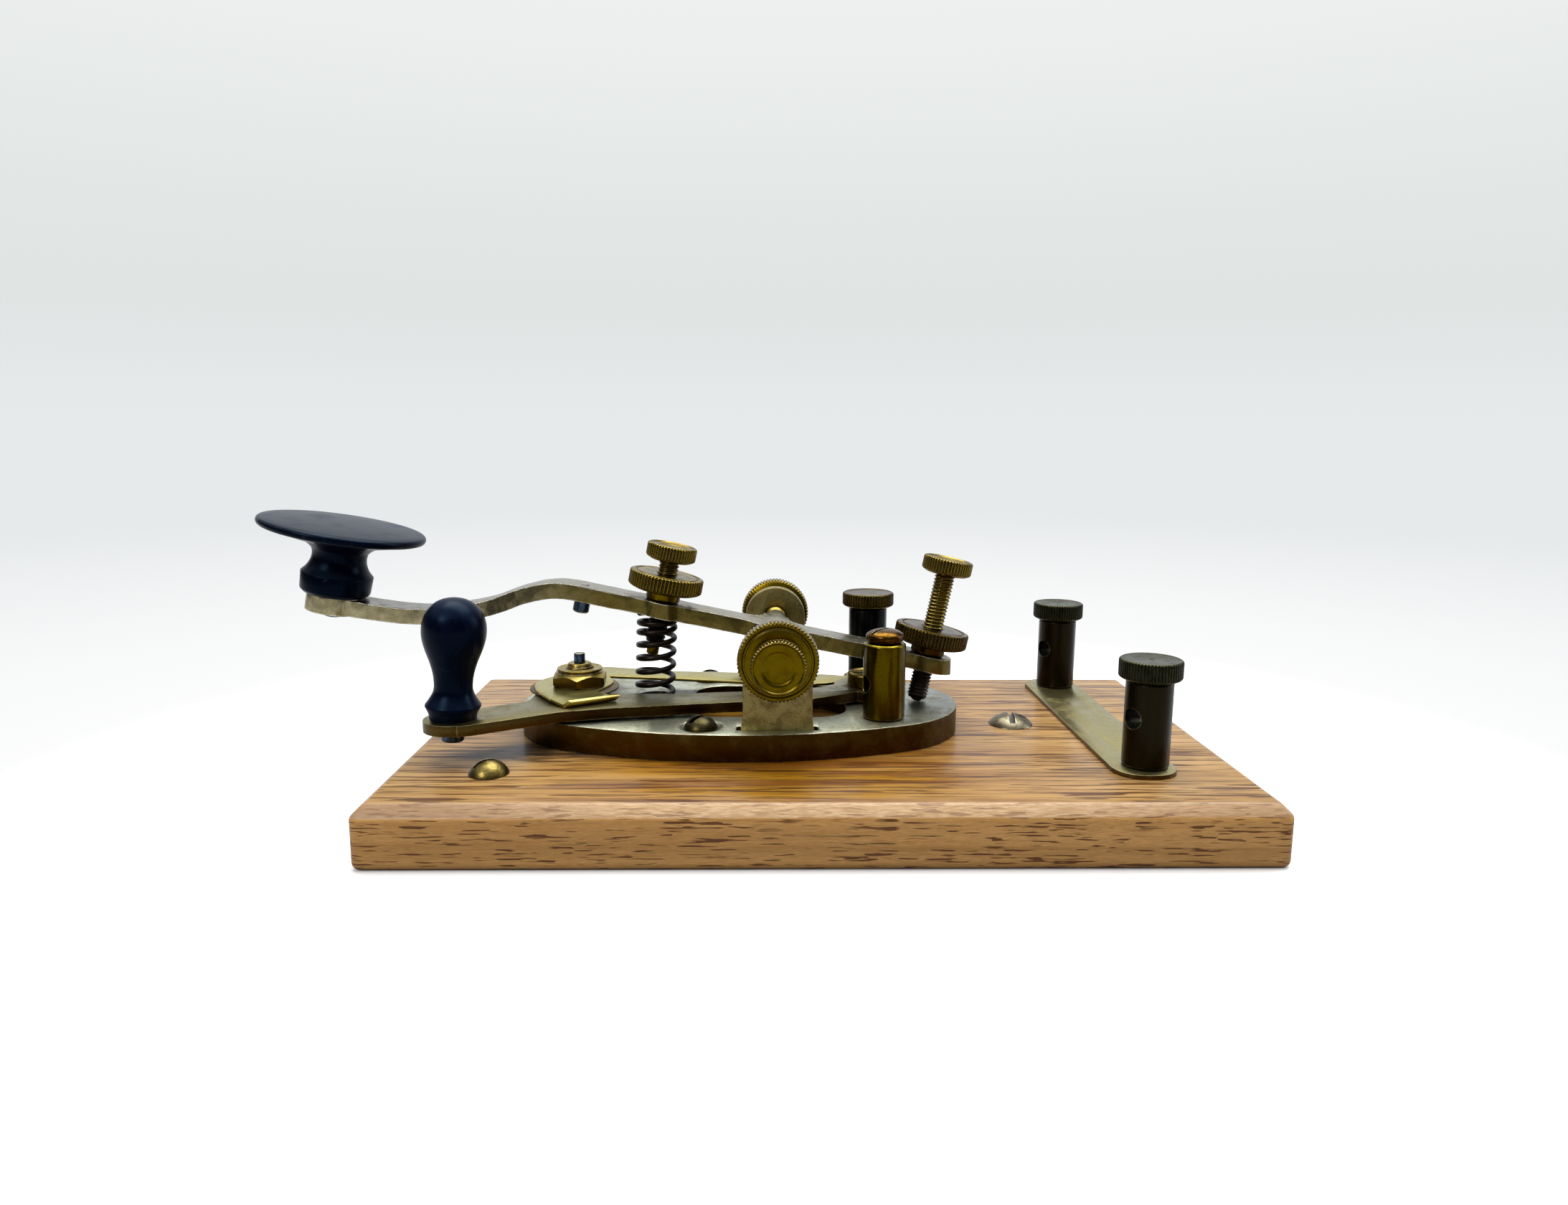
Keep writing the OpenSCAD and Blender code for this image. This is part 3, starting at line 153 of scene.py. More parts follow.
room = bpy.data.worlds.new("room")
bpy.context.scene.world = room
room.use_nodes = True
sky = room.node_tree
sky.nodes.clear()
way_out = axes(sky, point(sky, "Generated"))
behind = span(sky, way_out[1], 0.45, 0.8)
walls = mix(sky, behind, (0.07, 0.08, 0.1), (0.8, 0.83, 0.88))
walls = mix(sky, span(sky, way_out[2], 0.3, 0.9), walls, (0.95, 0.97, 1.0))
paper_far = (0.8, 0.82, 0.83)
seen = mix(sky, span(sky, way_out[2], -0.01, 0.1), paper_far, (0.745, 0.775, 0.77))
seen = mix(sky, span(sky, way_out[2], 0.08, 0.42), seen, (0.87, 0.89, 0.88))
to_camera = node(sky, "ShaderNodeLightPath").outputs["Is Camera Ray"]
glow = node(sky, "ShaderNodeBackground", {"Color": mix(sky, to_camera, walls, seen), "Strength": 1.0})
node(sky, "ShaderNodeOutputWorld", {"Surface": glow.outputs[0]})

paper = bpy.data.materials.new("white_paper")
paper.use_nodes = True
sheet = paper.node_tree
white = sheet.nodes["Principled BSDF"]
seen_white = node(sheet, "ShaderNodeLightPath").outputs["Is Camera Ray"]
put(sheet, mix(sheet, seen_white, (0.34, 0.35, 0.37), (0.88, 0.885, 0.89)), white.inputs["Base Color"])
white.inputs["Roughness"].default_value = 0.8
reach = length(sheet, point(sheet))
dusk = maths(sheet, "POWER", span(sheet, reach, 0.12, 0.8), 0.6)
far = node(sheet, "ShaderNodeEmission", {"Color": mix(sheet, dusk, (1.0, 1.0, 1.0), paper_far)})
blend = node(sheet, "ShaderNodeMixShader", {0: span(sheet, reach, 0.11, 0.2), 1: white.outputs[0],
             2: far.outputs[0]})
put(sheet, blend.outputs[0], sheet.nodes["Material Output"].inputs[0])
table_half = 9
table = bpy.data.meshes.new("table")
table_corners = [(x * table_half, y * table_half, 0) for x, y in ((-1, -1), (1, -1), (1, 1), (-1, 1))]
table.from_pydata(table_corners, [], [(0, 1, 2, 3)])
table.materials.append(paper)
table = linked("table", table)


def lamp(name, at, target, size, power, colour):
    """Soft rectangular lamp that points at a target"""
    light = bpy.data.lights.new(name, "AREA")
    light.shape, light.size, light.size_y = "RECTANGLE", size[0], size[1]
    light.energy, light.color = power, colour
    made = linked(name, light)
    made.location = at
    made.rotation_euler = (Vector(target) - Vector(at)).to_track_quat("-Z", "Y").to_euler()


lamp("overhead", (0.05, 0.15, 0.75), (0, 0, 0), (0.9, 0.5), 9.5, (1.0, 0.99, 0.97))
lamp("front_left", (-0.45, -0.55, 0.55), (0, 0, 0.02), (0.25, 0.25), 3.0, (1.0, 0.98, 0.95))
lamp("right", (0.8, 0.1, 0.35), (0, 0, 0.02), (0.3, 0.4), 2.0, (0.95, 0.98, 1.0))


# The board: a flat length of oak, sawn with its grain along X, chamfered round the top and
# varnished. The varnish has yellowed in the middle of the top; towards both ends the top is painted
# paler, a painted reflection of the bright room. The chamfer is paler still, part rubbed wear and
# part painted light. Hand grease and metal have stained it round the key; the dark patch by the
# plate's left end is part stain and part painted contact shadow.
def grain(tree, stretch, detail=4.0, rough=0.6, distort=0.0, shift=(0, 0, 0)):
    """Noise in object coordinates, stretched: the sizes of a fleck along X, Y and Z in millimetres"""
    scaled = node(tree, "ShaderNodeMapping", {"Vector": point(tree), "Location": shift,
                  "Scale": [1 / (s * mm) for s in stretch]})
    return node(tree, "ShaderNodeTexNoise", {"Vector": scaled.outputs[0], "Scale": 1.0,
                "Detail": detail, "Roughness": rough, "Distortion": distort}).outputs["Fac"]


def worn_edge(tree, reach):
    """1 on arrises sharper than the reach in millimetres, 0 on flats"""
    eased = node(tree, "ShaderNodeBevel", {"Radius": reach * mm}, samples=6).outputs[0]
    flat = node(tree, "ShaderNodeNewGeometry").outputs["Normal"]
    dot = node(tree, "ShaderNodeVectorMath", {0: eased, 1: flat}, operation="DOT_PRODUCT").outputs["Value"]
    return span(tree, dot, 0.985, 0.86)


def bumped(tree, height, strength, depth, soft=None, over=None):
    """Normal of a fine relief, its depth in millimetres, over arrises softened by soft millimetres
    or over another relief"""
    wires = {"Height": height, "Strength": strength, "Distance": depth * mm}
    if over:
        wires["Normal"] = over
    elif soft:
        wires["Normal"] = node(tree, "ShaderNodeBevel", {"Radius": soft * mm}, samples=4).outputs[0]
    return node(tree, "ShaderNodeBump", wires).outputs[0]


def away(tree, middle, half):
    """Distance from a middle in millimetres, 1 at the half sizes along X, Y and Z"""
    near = node(tree, "ShaderNodeMapping", {"Vector": point(tree), "Scale": [1 / (h * mm) for h in half],
                "Location": [-c / h for c, h in zip(middle, half)]})
    return length(tree, near.outputs[0])


def facing_up(tree):
    """1 on faces that look up, 0 on upright faces"""
    return span(tree, axes(tree, point(tree, "Normal"))[2], 0.3, 0.75)


def finish_of(name):
    """New material with its node tree and its shader"""
    made = bpy.data.materials.new(name)
    made.use_nodes = True
    return made, made.node_tree, made.node_tree.nodes["Principled BSDF"]


oak, tree, shell = finish_of("varnished_oak")
slant = axes(tree, point(tree, "Normal"))
flat_top, upright = span(tree, slant[2], 0.86, 0.97), span(tree, slant[2], 0.62, 0.42)
along_x = node(tree, "ShaderNodeMath", {0: slant[0]}, operation="ABSOLUTE").outputs[0]
end_grain = span(tree, along_x, 0.75, 0.95)
rings = grain(tree, (160, 5.0, 4.0), 3.0, 0.55, 0.9)
fibres = grain(tree, (12, 0.5, 0.28), 3.0, 0.7)
coarse = span(tree, grain(tree, (22, 1.0, 0.6), 1.5, 0.55, 0.05, (3, 7, 1)), 0.56, 0.595)
fine = span(tree, grain(tree, (14, 0.6, 0.4), 2.0, 0.6, 0.1, (8, 2, 5)), 0.555, 0.6, 0.0, 0.8)
gaps = span(tree, grain(tree, (60, 6, 5), 2.0, 0.5, 0.6, (9, 2, 4)), 0.34, 0.5, 0.3, 1.0)
lines = times(tree, maths(tree, "MAXIMUM", coarse, fine), gaps)
flecks = span(tree, grain(tree, (5.5, 3.5, 0.36), 1.0, 0.45, 0.0, (4, 1, 8)), 0.6, 0.635)
gaps = span(tree, grain(tree, (26, 9, 4), 2.0, 0.6, 0.2, (2, 5, 6)), 0.3, 0.44, 0.15, 1.0)
flecks = times(tree, flecks, gaps)
where = axes(tree, point(tree))
# The middle of the top keeps the yellowed varnish; towards both ends it is painted paler, a painted
# reflection of the bright room.
amber_vs_end_sheen = times(tree, span(tree, where[0], -0.078, -0.03), span(tree, where[0], 0.06, 0.015))
clouds = grain(tree, (60, 8, 8), 3.0, 0.5, 0.5, (7, 3, 2))
amber_vs_end_sheen = times(tree, amber_vs_end_sheen, span(tree, clouds, 0.3, 0.62, 0.5, 1.0))
top_wood = mix(tree, span(tree, rings, 0.38, 0.64), (0.345, 0.205, 0.076), (0.24, 0.128, 0.037))
amber_wood = mix(tree, span(tree, rings, 0.42, 0.6), (0.255, 0.118, 0.0015), (0.15, 0.05, 0.0006))
top_wood = mix(tree, amber_vs_end_sheen, top_wood, amber_wood)
# Pale fibres show more towards the ends: part grain, part the painted reflection.
pale = times(tree, span(tree, fibres, 0.35, 0.7, 0.0, 0.4), span(tree, amber_vs_end_sheen, 1.0, 0.2, 0.15, 1.0))
top_wood = mix(tree, pale, top_wood, (0.41, 0.255, 0.085))
top_wood = mix(tree, times(tree, lines, 0.9), top_wood, (0.055, 0.016, 0.001))
side_wood = mix(tree, span(tree, rings, 0.36, 0.64), (0.49, 0.25, 0.072), (0.34, 0.16, 0.036))
side_wood = mix(tree, span(tree, fibres, 0.3, 0.7, 0.0, 0.4), side_wood, (0.55, 0.32, 0.12))
weave = span(tree, grain(tree, (1.8, 0.5, 0.15), 2.0, 0.7, 0.0, (6, 6, 3)), 0.36, 0.62, 0.0, 0.45)
side_wood = mix(tree, weave, side_wood, (0.25, 0.125, 0.034))
side_wood = mix(tree, times(tree, flecks, 0.9), side_wood, (0.078, 0.02, 0.002))
growth = grain(tree, (40, 9, 2.2), 2.0, 0.5, 0.7, (5, 2, 2))
pores = span(tree, grain(tree, (6, 0.45, 0.45), 2.0, 0.6, 0.0, (1, 3, 3)), 0.56, 0.66)
end_wood = mix(tree, span(tree, growth, 0.38, 0.62), (0.32, 0.175, 0.07), (0.245, 0.125, 0.046))
pores = times(tree, pores, span(tree, growth, 0.36, 0.5, 0.25, 0.85))
end_wood = mix(tree, pores, end_wood, (0.06, 0.02, 0.006))
side_wood = mix(tree, end_grain, side_wood, end_wood)
# The chamfer: paler than top and sides, part rubbed wear and part painted light where it faces up and
# forward.
rubbed = span(tree, grain(tree, (2.4, 0.3, 0.3), 3.0, 0.6), 0.34, 0.68)
edge_wood = mix(tree, rubbed, (0.36, 0.22, 0.105), (0.5, 0.34, 0.19))
edge_wood = mix(tree, span(tree, where[0], -0.03, -0.075, 0.0, 0.6), edge_wood, (0.2, 0.11, 0.055))
edge_wood = mix(tree, span(tree, where[0], 0.03, 0.08, 0.0, 0.4), edge_wood, (0.22, 0.12, 0.06))
marks = span(tree, grain(tree, (6, 0.7, 0.7), 2.0, 0.5, 0.2, (8, 8, 1)), 0.57, 0.63, 0.0, 0.55)
edge_wood = mix(tree, marks, edge_wood, (0.14, 0.06, 0.028))
wood = mix(tree, flat_top, mix(tree, upright, edge_wood, side_wood), top_wood)
# Dark patch by the plate's left end: part stain, part painted contact shadow of the plate.
stain = span(tree, away(tree, (-60, -19, 12.7), (16.67, 5.263, 10)), 1.4, 0.6)
stain = times(tree, stain, span(tree, grain(tree, (14, 3, 5)), 0.34, 0.6))
wood = mix(tree, times(tree, stain, 0.9), wood, (0.022, 0.019, 0.016))
put(tree, wood, shell.inputs["Base Color"])
put(tree, span(tree, fibres, 0.3, 0.75, 0.34, 0.5), shell.inputs["Roughness"])
put(tree, span(tree, flat_top, 0, 1, 0.05, 0.22), shell.inputs["Coat Weight"])
shell.inputs["Coat Roughness"].default_value = 0.14
shell.inputs["Specular IOR Level"].default_value = 0.22
relief = maths(tree, "SUBTRACT", times(tree, fibres, 0.4), maths(tree, "MAXIMUM", lines, flecks))
put(tree, bumped(tree, relief, 0.45, 0.14, 0.4), shell.inputs["Normal"])


def settled(work, angle):
    """Plain mesh of an object with its modifiers, smooth but for arrises sharper than the angle"""
    bpy.context.view_layer.update()
    mesh = bpy.data.meshes.new_from_object(work.evaluated_get(bpy.context.evaluated_depsgraph_get()))
    old = work.data
    bpy.data.objects.remove(work)
    bpy.data.meshes.remove(old)
    mesh.shade_smooth()
    mesh.set_sharp_from_angle(angle=radians(angle))
    return mesh


def eased_solid(source, finish, width, segments=2, file_step=0.0, file_depth=0.0):
    """Copy of a solid of the frame as one closed mesh, its arrises rounded to the width in millimetres;
    a file step and depth make them wavy, as hand filing leaves them"""
    angle, merge, flat = 38, 2e-6, 1.0
    form = bmesh.new()
    form.from_mesh(frame["nodes"][source].data)
    bmesh.ops.remove_doubles(form, verts=form.verts, dist=merge)
    bmesh.ops.dissolve_limit(form, angle_limit=radians(flat), verts=form.verts, edges=form.edges)
    form.verts.index_update()
    mesh = bpy.data.meshes.new(source)
    mesh.from_pydata([v.co[:] for v in form.verts], [], [[v.index for v in f.verts] for f in form.faces])
    form.free()
    mesh.materials.append(finish)
    work = linked("work", mesh)
    bevel = work.modifiers.new("arris", "BEVEL")
    bevel.width, bevel.segments = width * mm, segments
    bevel.limit_method, bevel.angle_limit = "ANGLE", radians(angle)
    mesh = settled(work, angle)
    if file_step:
        form = bmesh.new()
        form.from_mesh(mesh)
        low, high = min(v.co.x for v in form.verts), max(v.co.x for v in form.verts)
        for k in range(1, int((high - low) / file_step / mm)):
            bmesh.ops.bisect_plane(form, geom=form.verts[:] + form.edges[:] + form.faces[:], dist=1e-7,
                                   plane_co=(low + k * file_step * mm, 0, 0), plane_no=(1, 0.13, 0.09))
        form.normal_update()
        for v in form.verts:
            v.co += v.normal * file_depth * mm * noise.noise(v.co / mm / file_step / 1.4)
        form.to_mesh(mesh)
        form.free()
        mesh.shade_smooth()
        mesh.set_sharp_from_angle(angle=radians(angle))
    return mesh


def stand_in(name, mesh, source):
    """The finished piece for a solid of the frame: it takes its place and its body"""
    made = linked(name, mesh)
    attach(made, frame["nodes"][source]["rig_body"])
    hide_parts(source)


def carved(mesh, tool, way="DIFFERENCE", angle=38):
    """Mesh with the tool cut out of it, or kept only where the two share space"""
    work, other = linked("work", mesh), linked("tool", tool)
    cut = work.modifiers.new("cut", "BOOLEAN")
    cut.operation, cut.solver, cut.object = way, "EXACT", other
    made = settled(work, angle)
    bpy.data.objects.remove(other)
    return made


def dress(source, finish):
    """A solid of the frame that stays as it is, in a better finish"""
    solid = frame["nodes"][source]
    solid.data.materials.clear()
    solid.data.materials.append(finish)


half_l, half_w, board_h, corner_r, round_steps = 88.89, 50.79, 12.69, 1.8, 8
# Inset and height of each outline of a blank, 0.01 mm inside the solid, from the foot up
levels = [(1.5, 0.01), (0.85, 0.15), (0.35, 0.5), (0.08, 1.0), (0, 1.6), (0, board_h - 2.9),
          (0.1, board_h - 2.5), (0.35, board_h - 2.1), (1.95, board_h - 0.5),
          (2.35, board_h - 0.2), (2.9, board_h)]
points = []
for inset, z in levels:
    r = max(corner_r - inset, 0.3)
    for quarter, (sx, sy) in enumerate(((1, 1), (-1, 1), (-1, -1), (1, -1))):
        for k in range(round_steps + 1):
            a = radians(90 * (quarter + k / round_steps))
            points.append(Vector((sx * (half_l - inset - r) + r * cos(a),
                                  sy * (half_w - inset - r) + r * sin(a), z)) * mm)
loop = 4 * (round_steps + 1)
faces = [[n * loop + k, n * loop + (k + 1) % loop, (n + 1) * loop + (k + 1) % loop, (n + 1) * loop + k]
         for n in range(len(levels) - 1) for k in range(loop)]
blank = bpy.data.meshes.new("blank")
caps = [list(range(loop - 1, -1, -1)), [len(points) - loop + k for k in range(loop)]]
blank.from_pydata(points, [], faces + caps)
blank.materials.append(oak)
board = carved(eased_solid("base_board", oak, 0.0), blank, "INTERSECT", 30)
stand_in("oak_board", board, "base_board")


# The key plate: an oval brass casting with a window, its top filed flat and its edge left from
# the mould. It has gone grey on top, in part a painted reflection of the backdrop, and red-brown
# down the side; the arris is rubbed bright. Round the spring's foot its top is darkened, part
# greasy grime and part painted shade under the strap and the arm.
def metal(name, top, side, stain, arris, *, wear, gloss, blotch=5.0, stains=0.5, fleck=0.5, flecks=0.5,
          worn=0.8, pits=0.35, pit=0.3, bare=1.0, streak=None, grooves=None, along=None, even=0.15,
          facets=0.0, grease_and_shade=None):
    """Old metal: a tone for tops, in part a painted reflection of the bright room above, and one for
    sides, blotches, dark flecks, bright arrises and pits; along is a second side tone and top tone and
    the two X between which they take over, even the least wear of an arris, facets the depth of file
    marks, the last a dark place, part greasy grime and part painted shade: middle, half sizes"""
    made, tree, shell = finish_of(name)
    if along:
        place = axes(tree, point(tree))[0]
        there = span(tree, place, along[2] * mm, along[3] * mm)
        side, top = mix(tree, there, side, along[0]), mix(tree, there, top, along[1])
    # Faces that look up take the top tone, in part a painted reflection of the bright room above.
    tone = mix(tree, facing_up(tree), side, top)
    patch = span(tree, grain(tree, streak or (blotch,) * 3, 5.0, 0.65, 0.4), 0.4, 0.66)
    tone = mix(tree, times(tree, patch, stains), tone, stain)
    dots = span(tree, grain(tree, (fleck,) * 3, 3.0, 0.6, 0.0, (5, 3, 8)), 0.56, 0.68)
    tone = mix(tree, times(tree, dots, flecks), tone, [c * 0.35 for c in stain])
    if grooves:
        depth = node(tree, "ShaderNodeAttribute", attribute_name="groove").outputs["Fac"]
        tone = mix(tree, span(tree, depth, 0.15, 0.75), tone, grooves)
    nicks = span(tree, grain(tree, (1.3, 1.3, 1.3), 3.0, 0.6, 0.0, (1, 6, 2)), 0.36, 0.6, even, 1.0)
    # Darker round a given place: part greasy grime, part painted shade under the parts that stand over it.
    if grease_and_shade:
        from_middle = away(tree, *grease_and_shade)
        rim = times(tree, span(tree, from_middle, 1.6, 0.9), patch)
        dirt_and_shade = maths(tree, "ADD", span(tree, from_middle, 1.15, 0.7), rim)
        tone = mix(tree, times(tree, dirt_and_shade, 0.9), tone, (0.014, 0.013, 0.006))
    bright = times(tree, times(tree, worn_edge(tree, wear), nicks), worn)
    tone = mix(tree, bright, tone, arris)
    put(tree, tone, shell.inputs["Base Color"])
    dull = maths(tree, "ADD", times(tree, patch, 0.6), times(tree, dots, 0.4))
    put(tree, span(tree, dull, 0, 1, *gloss), shell.inputs["Roughness"])
    shell.inputs["Metallic"].default_value = bare
    fine = grain(tree, (pit,) * 3, 3.0, 0.65, 0.0, (2, 2, 9))
    filed = None
    if facets:
        stroke = 2.4 * mm
        cells = node(tree, "ShaderNodeTexVoronoi", {"Vector": point(tree), "Scale": 1 / stroke,
                     "Smoothness": 0.3}, feature="SMOOTH_F1")
        filed = bumped(tree, cells.outputs["Distance"], 0.6, facets, 0.12)
    put(tree, bumped(tree, fine, pits, 0.06, 0.12, filed), shell.inputs["Normal"])
    return made


# Its top tone is paler where X is under 10 mm, a painted reflection of the backdrop.
plate_metal = metal(
    "plate_patina", (0.56, 0.59, 0.45), (0.062, 0.027, 0.0025), (0.105, 0.068, 0.015), (0.8, 0.74, 0.52),
    blotch=4.5, stains=0.55, flecks=0.6, wear=0.4, worn=0.75, gloss=(0.34, 0.5), pits=0.8,
    along=((0.045, 0.02, 0.0025), (0.25, 0.265, 0.24), 10, 38), grease_and_shade=((-29, 5, 18.7), (15, 8, 6)))
oval = eased_solid("key_plate", plate_metal, 0.22, file_step=1.3, file_depth=0.07)
stand_in("oval_plate", oval, "key_plate")


# The screws: round slotted heads, turned and sawn. Two dark ones hold the plate, a brass one and
# a flat steel one stand in the board. Only the heads show; the shanks sit in the wood.
def new_rule(name, **sizes):
    """Geometry tree with named inputs for its sizes and its finish, and the outputs that give them"""
    made = bpy.data.node_groups.new(name, "GeometryNodeTree")
    for label, kind in {"Geometry": "Geometry", **sizes, "Finish": "Material"}.items():
        made.interface.new_socket(label, in_out="INPUT", socket_type="NodeSocket" + kind)
    made.interface.new_socket("Geometry", in_out="OUTPUT", socket_type="NodeSocketGeometry")
    return made, node(made, "NodeGroupInput").outputs


def end_rule(tree, geometry, given):
    """Last nodes of a tree: its geometry made real, welded and put in the finish"""
    real = node(tree, "GeometryNodeRealizeInstances", {"Geometry": geometry})
    welded = node(tree, "GeometryNodeMergeByDistance", {"Geometry": real.outputs[0], "Distance": 3e-7})
    dressed = node(tree, "GeometryNodeSetMaterial", {"Geometry": welded.outputs[0],
                   "Material": given["Finish"]})
    node(tree, "NodeGroupOutput", {"Geometry": dressed.outputs[0]})
    return tree


def repeat_rule():
    """Repeats one sector of a turned piece round Z, with a rise from each copy to the next"""
    tree, given = new_rule("repeat round an axis", Count="Int", Turn="Float", Rise="Float")
    step = node(tree, "ShaderNodeCombineXYZ", {"Z": given["Rise"]})
    line = node(tree, "GeometryNodeMeshLine", {"Count": given["Count"], "Offset": step.outputs[0]},
                mode="OFFSET")
    angle = node(tree, "ShaderNodeMath", {0: node(tree, "GeometryNodeInputIndex").outputs[0],
                 1: given["Turn"]}, operation="MULTIPLY")
    spin = node(tree, "ShaderNodeCombineXYZ", {"Z": angle.outputs[0]})
    copies = node(tree, "GeometryNodeInstanceOnPoints", {"Points": line.outputs[0],
                  "Instance": given["Geometry"], "Rotation": spin.outputs[0]})
    return end_rule(tree, copies.outputs[0], given)


repeat = repeat_rule()


def by_rule(mesh, tree, values, angle):
    """Plain mesh that a geometry tree makes from a mesh; values are by input name"""
    work = linked("work", mesh)
    modifier = work.modifiers.new("rule", "NODES")
    modifier.node_group = tree
    for socket in tree.interface.items_tree:
        if socket.in_out == "INPUT" and socket.name in values:
            modifier[socket.identifier] = values[socket.name]
    return settled(work, angle)


def eased(outline, reach=0.15, steps=3):
    """Outline with its corners rounded; the third number of a point, its share of knurling, is kept"""
    made = [outline[0]]
    for a, b, c in zip(outline, outline[1:], outline[2:]):
        corner = Vector(b[:2])
        to_a, to_c = Vector(a[:2]) - corner, Vector(c[:2]) - corner
        cut_by = min(reach, 0.45 * to_a.length, 0.45 * to_c.length)
        if cut_by < 0.01 or to_a.angle(to_c) > 3.0:
            made.append(b)
            continue
        start, end = corner + to_a.normalized() * cut_by, corner + to_c.normalized() * cut_by
        for i in range(steps + 1):
            t = i / steps
            p = start * (1 - t) ** 2 + corner * 2 * t * (1 - t) + end * t ** 2
            made.append((p[0], p[1], *b[2:]))
    return made + [outline[-1]]


def spun(outline, finish, sectors, columns=1, groove=0.0, rise=0.0, turns=1.0, angle=38):
    """Turned mesh about Z from points (radius, height, share of knurling), in millimetres"""
    step = 2 * pi / sectors
    points, marks, faces = [], [], []
    for c in range(columns + 1):
        dip = abs(cos(pi * c / columns)) ** 4 if groove else 1.0
        a, lift = step * c / columns, rise * c / columns / sectors
        for r, z, *share in outline:
            mark = dip * (share[0] if share else 0)
            reach = max(r - groove * mark, 0)
            points.append(Vector((reach * cos(a), reach * sin(a), z + lift)) * mm)
            marks.append(mark)
    count = len(outline)
    for c in range(columns):
        for i in range(count - 1):
            a = c * count + i
            faces.append((a, a + count, a + count + 1, a + 1))
    mesh = bpy.data.meshes.new("sector")
    mesh.from_pydata(points, [], faces)
    mesh.attributes.new("groove", "FLOAT", "POINT").data.foreach_set("value", marks)
    return by_rule(mesh, repeat, {"Count": round(sectors * turns), "Turn": step,
                   "Rise": rise / sectors * mm, "Finish": finish}, angle)


def rod(r, low, high, finish, sectors=32, reach=0.2):
    """Plain turned rod between two heights"""
    return spun(eased([(0, low), (r, low), (r, high), (0, high)], reach), finish, sectors)


def placed(mesh, at, tilt=0.0, turn=0.0, lay=0.0):
    """Mesh turned about Z, tilted about Y or laid over about X, in degrees, and moved in millimetres"""
    aim = Matrix.Translation(Vector(at) * mm)
    for angle, axis in ((lay, "X"), (tilt, "Y"), (turn, "Z")):
        aim = aim @ Matrix.Rotation(radians(angle), 4, axis)
    mesh.transform(aim)
    return mesh


def joined(*meshes):
    """One mesh from several, each part in its own finish"""
    form = bmesh.new()
    made, finishes = bpy.data.meshes.new("joined"), []
    for mesh in meshes:
        first = len(form.faces)
        form.from_mesh(mesh)
        form.faces.ensure_lookup_table()
        for face in form.faces[first:]:
            finish = mesh.materials[face.material_index]
            if finish not in finishes:
                finishes.append(finish)
            face.material_index = finishes.index(finish)
    form.to_mesh(made)
    form.free()
    for finish in finishes:
        made.materials.append(finish)
    return made


def block(size, finish, at, turn=0.0):
    """Cutter for a slot"""
    form = bmesh.new()
    bmesh.ops.create_cube(form, size=1)
    bmesh.ops.scale(form, vec=Vector(size) * mm, verts=form.verts)
    made = bpy.data.meshes.new("block")
    form.to_mesh(made)
    form.free()
    made.materials.append(finish)
    return placed(made, at, turn=turn)


def arc(radius, centre, start, end, steps):
    """Outline points on a round: centre is its height on the axis, angles in degrees"""
    angles = [radians(start + (end - start) * i / steps) for i in range(steps + 1)]
    return [(radius * cos(a), centre + radius * sin(a)) for a in angles]


def domed_head(d, h, slot_w, turn, finish, foot=0.0):
    """Round head with a sawn slot, the widest place of its dome at zero"""
    slot_from = 0.45
    ball = (d * d / 4 + h * h) / (2 * h)
    low = degrees(asin((ball - h) / ball))
    crown = arc(ball, h - ball, low, 90, 18)[:-1] + [(0, h)]
    start = [(0, -foot), (d / 2 - 0.4, -foot)] if foot else [(0, 0)]
    head = spun(eased(start + crown, 0.12, 2), finish, 72)
    return carved(head, block((1.6 * d, slot_w, h), finish, (0, 0, h * (slot_from + 0.5)), turn))


dark_screw = metal(
    "dark_olive_screw", (0.05, 0.042, 0.017), (0.03, 0.023, 0.007), (0.01, 0.007, 0.002),
    (0.22, 0.19, 0.11), blotch=2.2, wear=0.3, gloss=(0.32, 0.48))
pitted_brass = metal(
    "pitted_brass_screw", (0.22, 0.165, 0.05), (0.12, 0.085, 0.02), (0.045, 0.03, 0.007),
    (0.7, 0.63, 0.4), blotch=2.0, stains=0.6, fleck=0.35, flecks=0.6, wear=0.25, gloss=(0.32, 0.5),
    pits=0.8, pit=0.5)
steel = metal(
    "board_steel", (0.17, 0.15, 0.1), (0.08, 0.065, 0.032), (0.03, 0.018, 0.006), (0.66, 0.62, 0.48),
    blotch=2.5, stains=0.6, wear=0.25, gloss=(0.28, 0.48), pits=0.6)
plate_top, board_top, sunk = 18.7, 12.7, 0.4
plate_screws_at = ((-25.1, -18.3, 37), (-25.1, 24.3, 20))
brass_screw_at, steel_screw_at = (-67.2, -31.6, board_top), (46.9, 4.4, board_top)
plate_heads = [placed(domed_head(7.5, 2.75, 1.5, turn, dark_screw, 0.5), (x, y, plate_top - sunk))
               for x, y, turn in plate_screws_at]
stand_in("plate_screw_heads", joined(*plate_heads), "plate_screws")
brass_head = placed(domed_head(8.2, 3.0, 1.0, 30, pitted_brass), brass_screw_at)
stand_in("brass_screw_head", brass_head, "board_screw_brass")
steel_head = placed(domed_head(10.4, 2.6, 1.4, 85, steel), steel_screw_at)
stand_in("steel_screw_head", steel_head, "board_screw_steel")


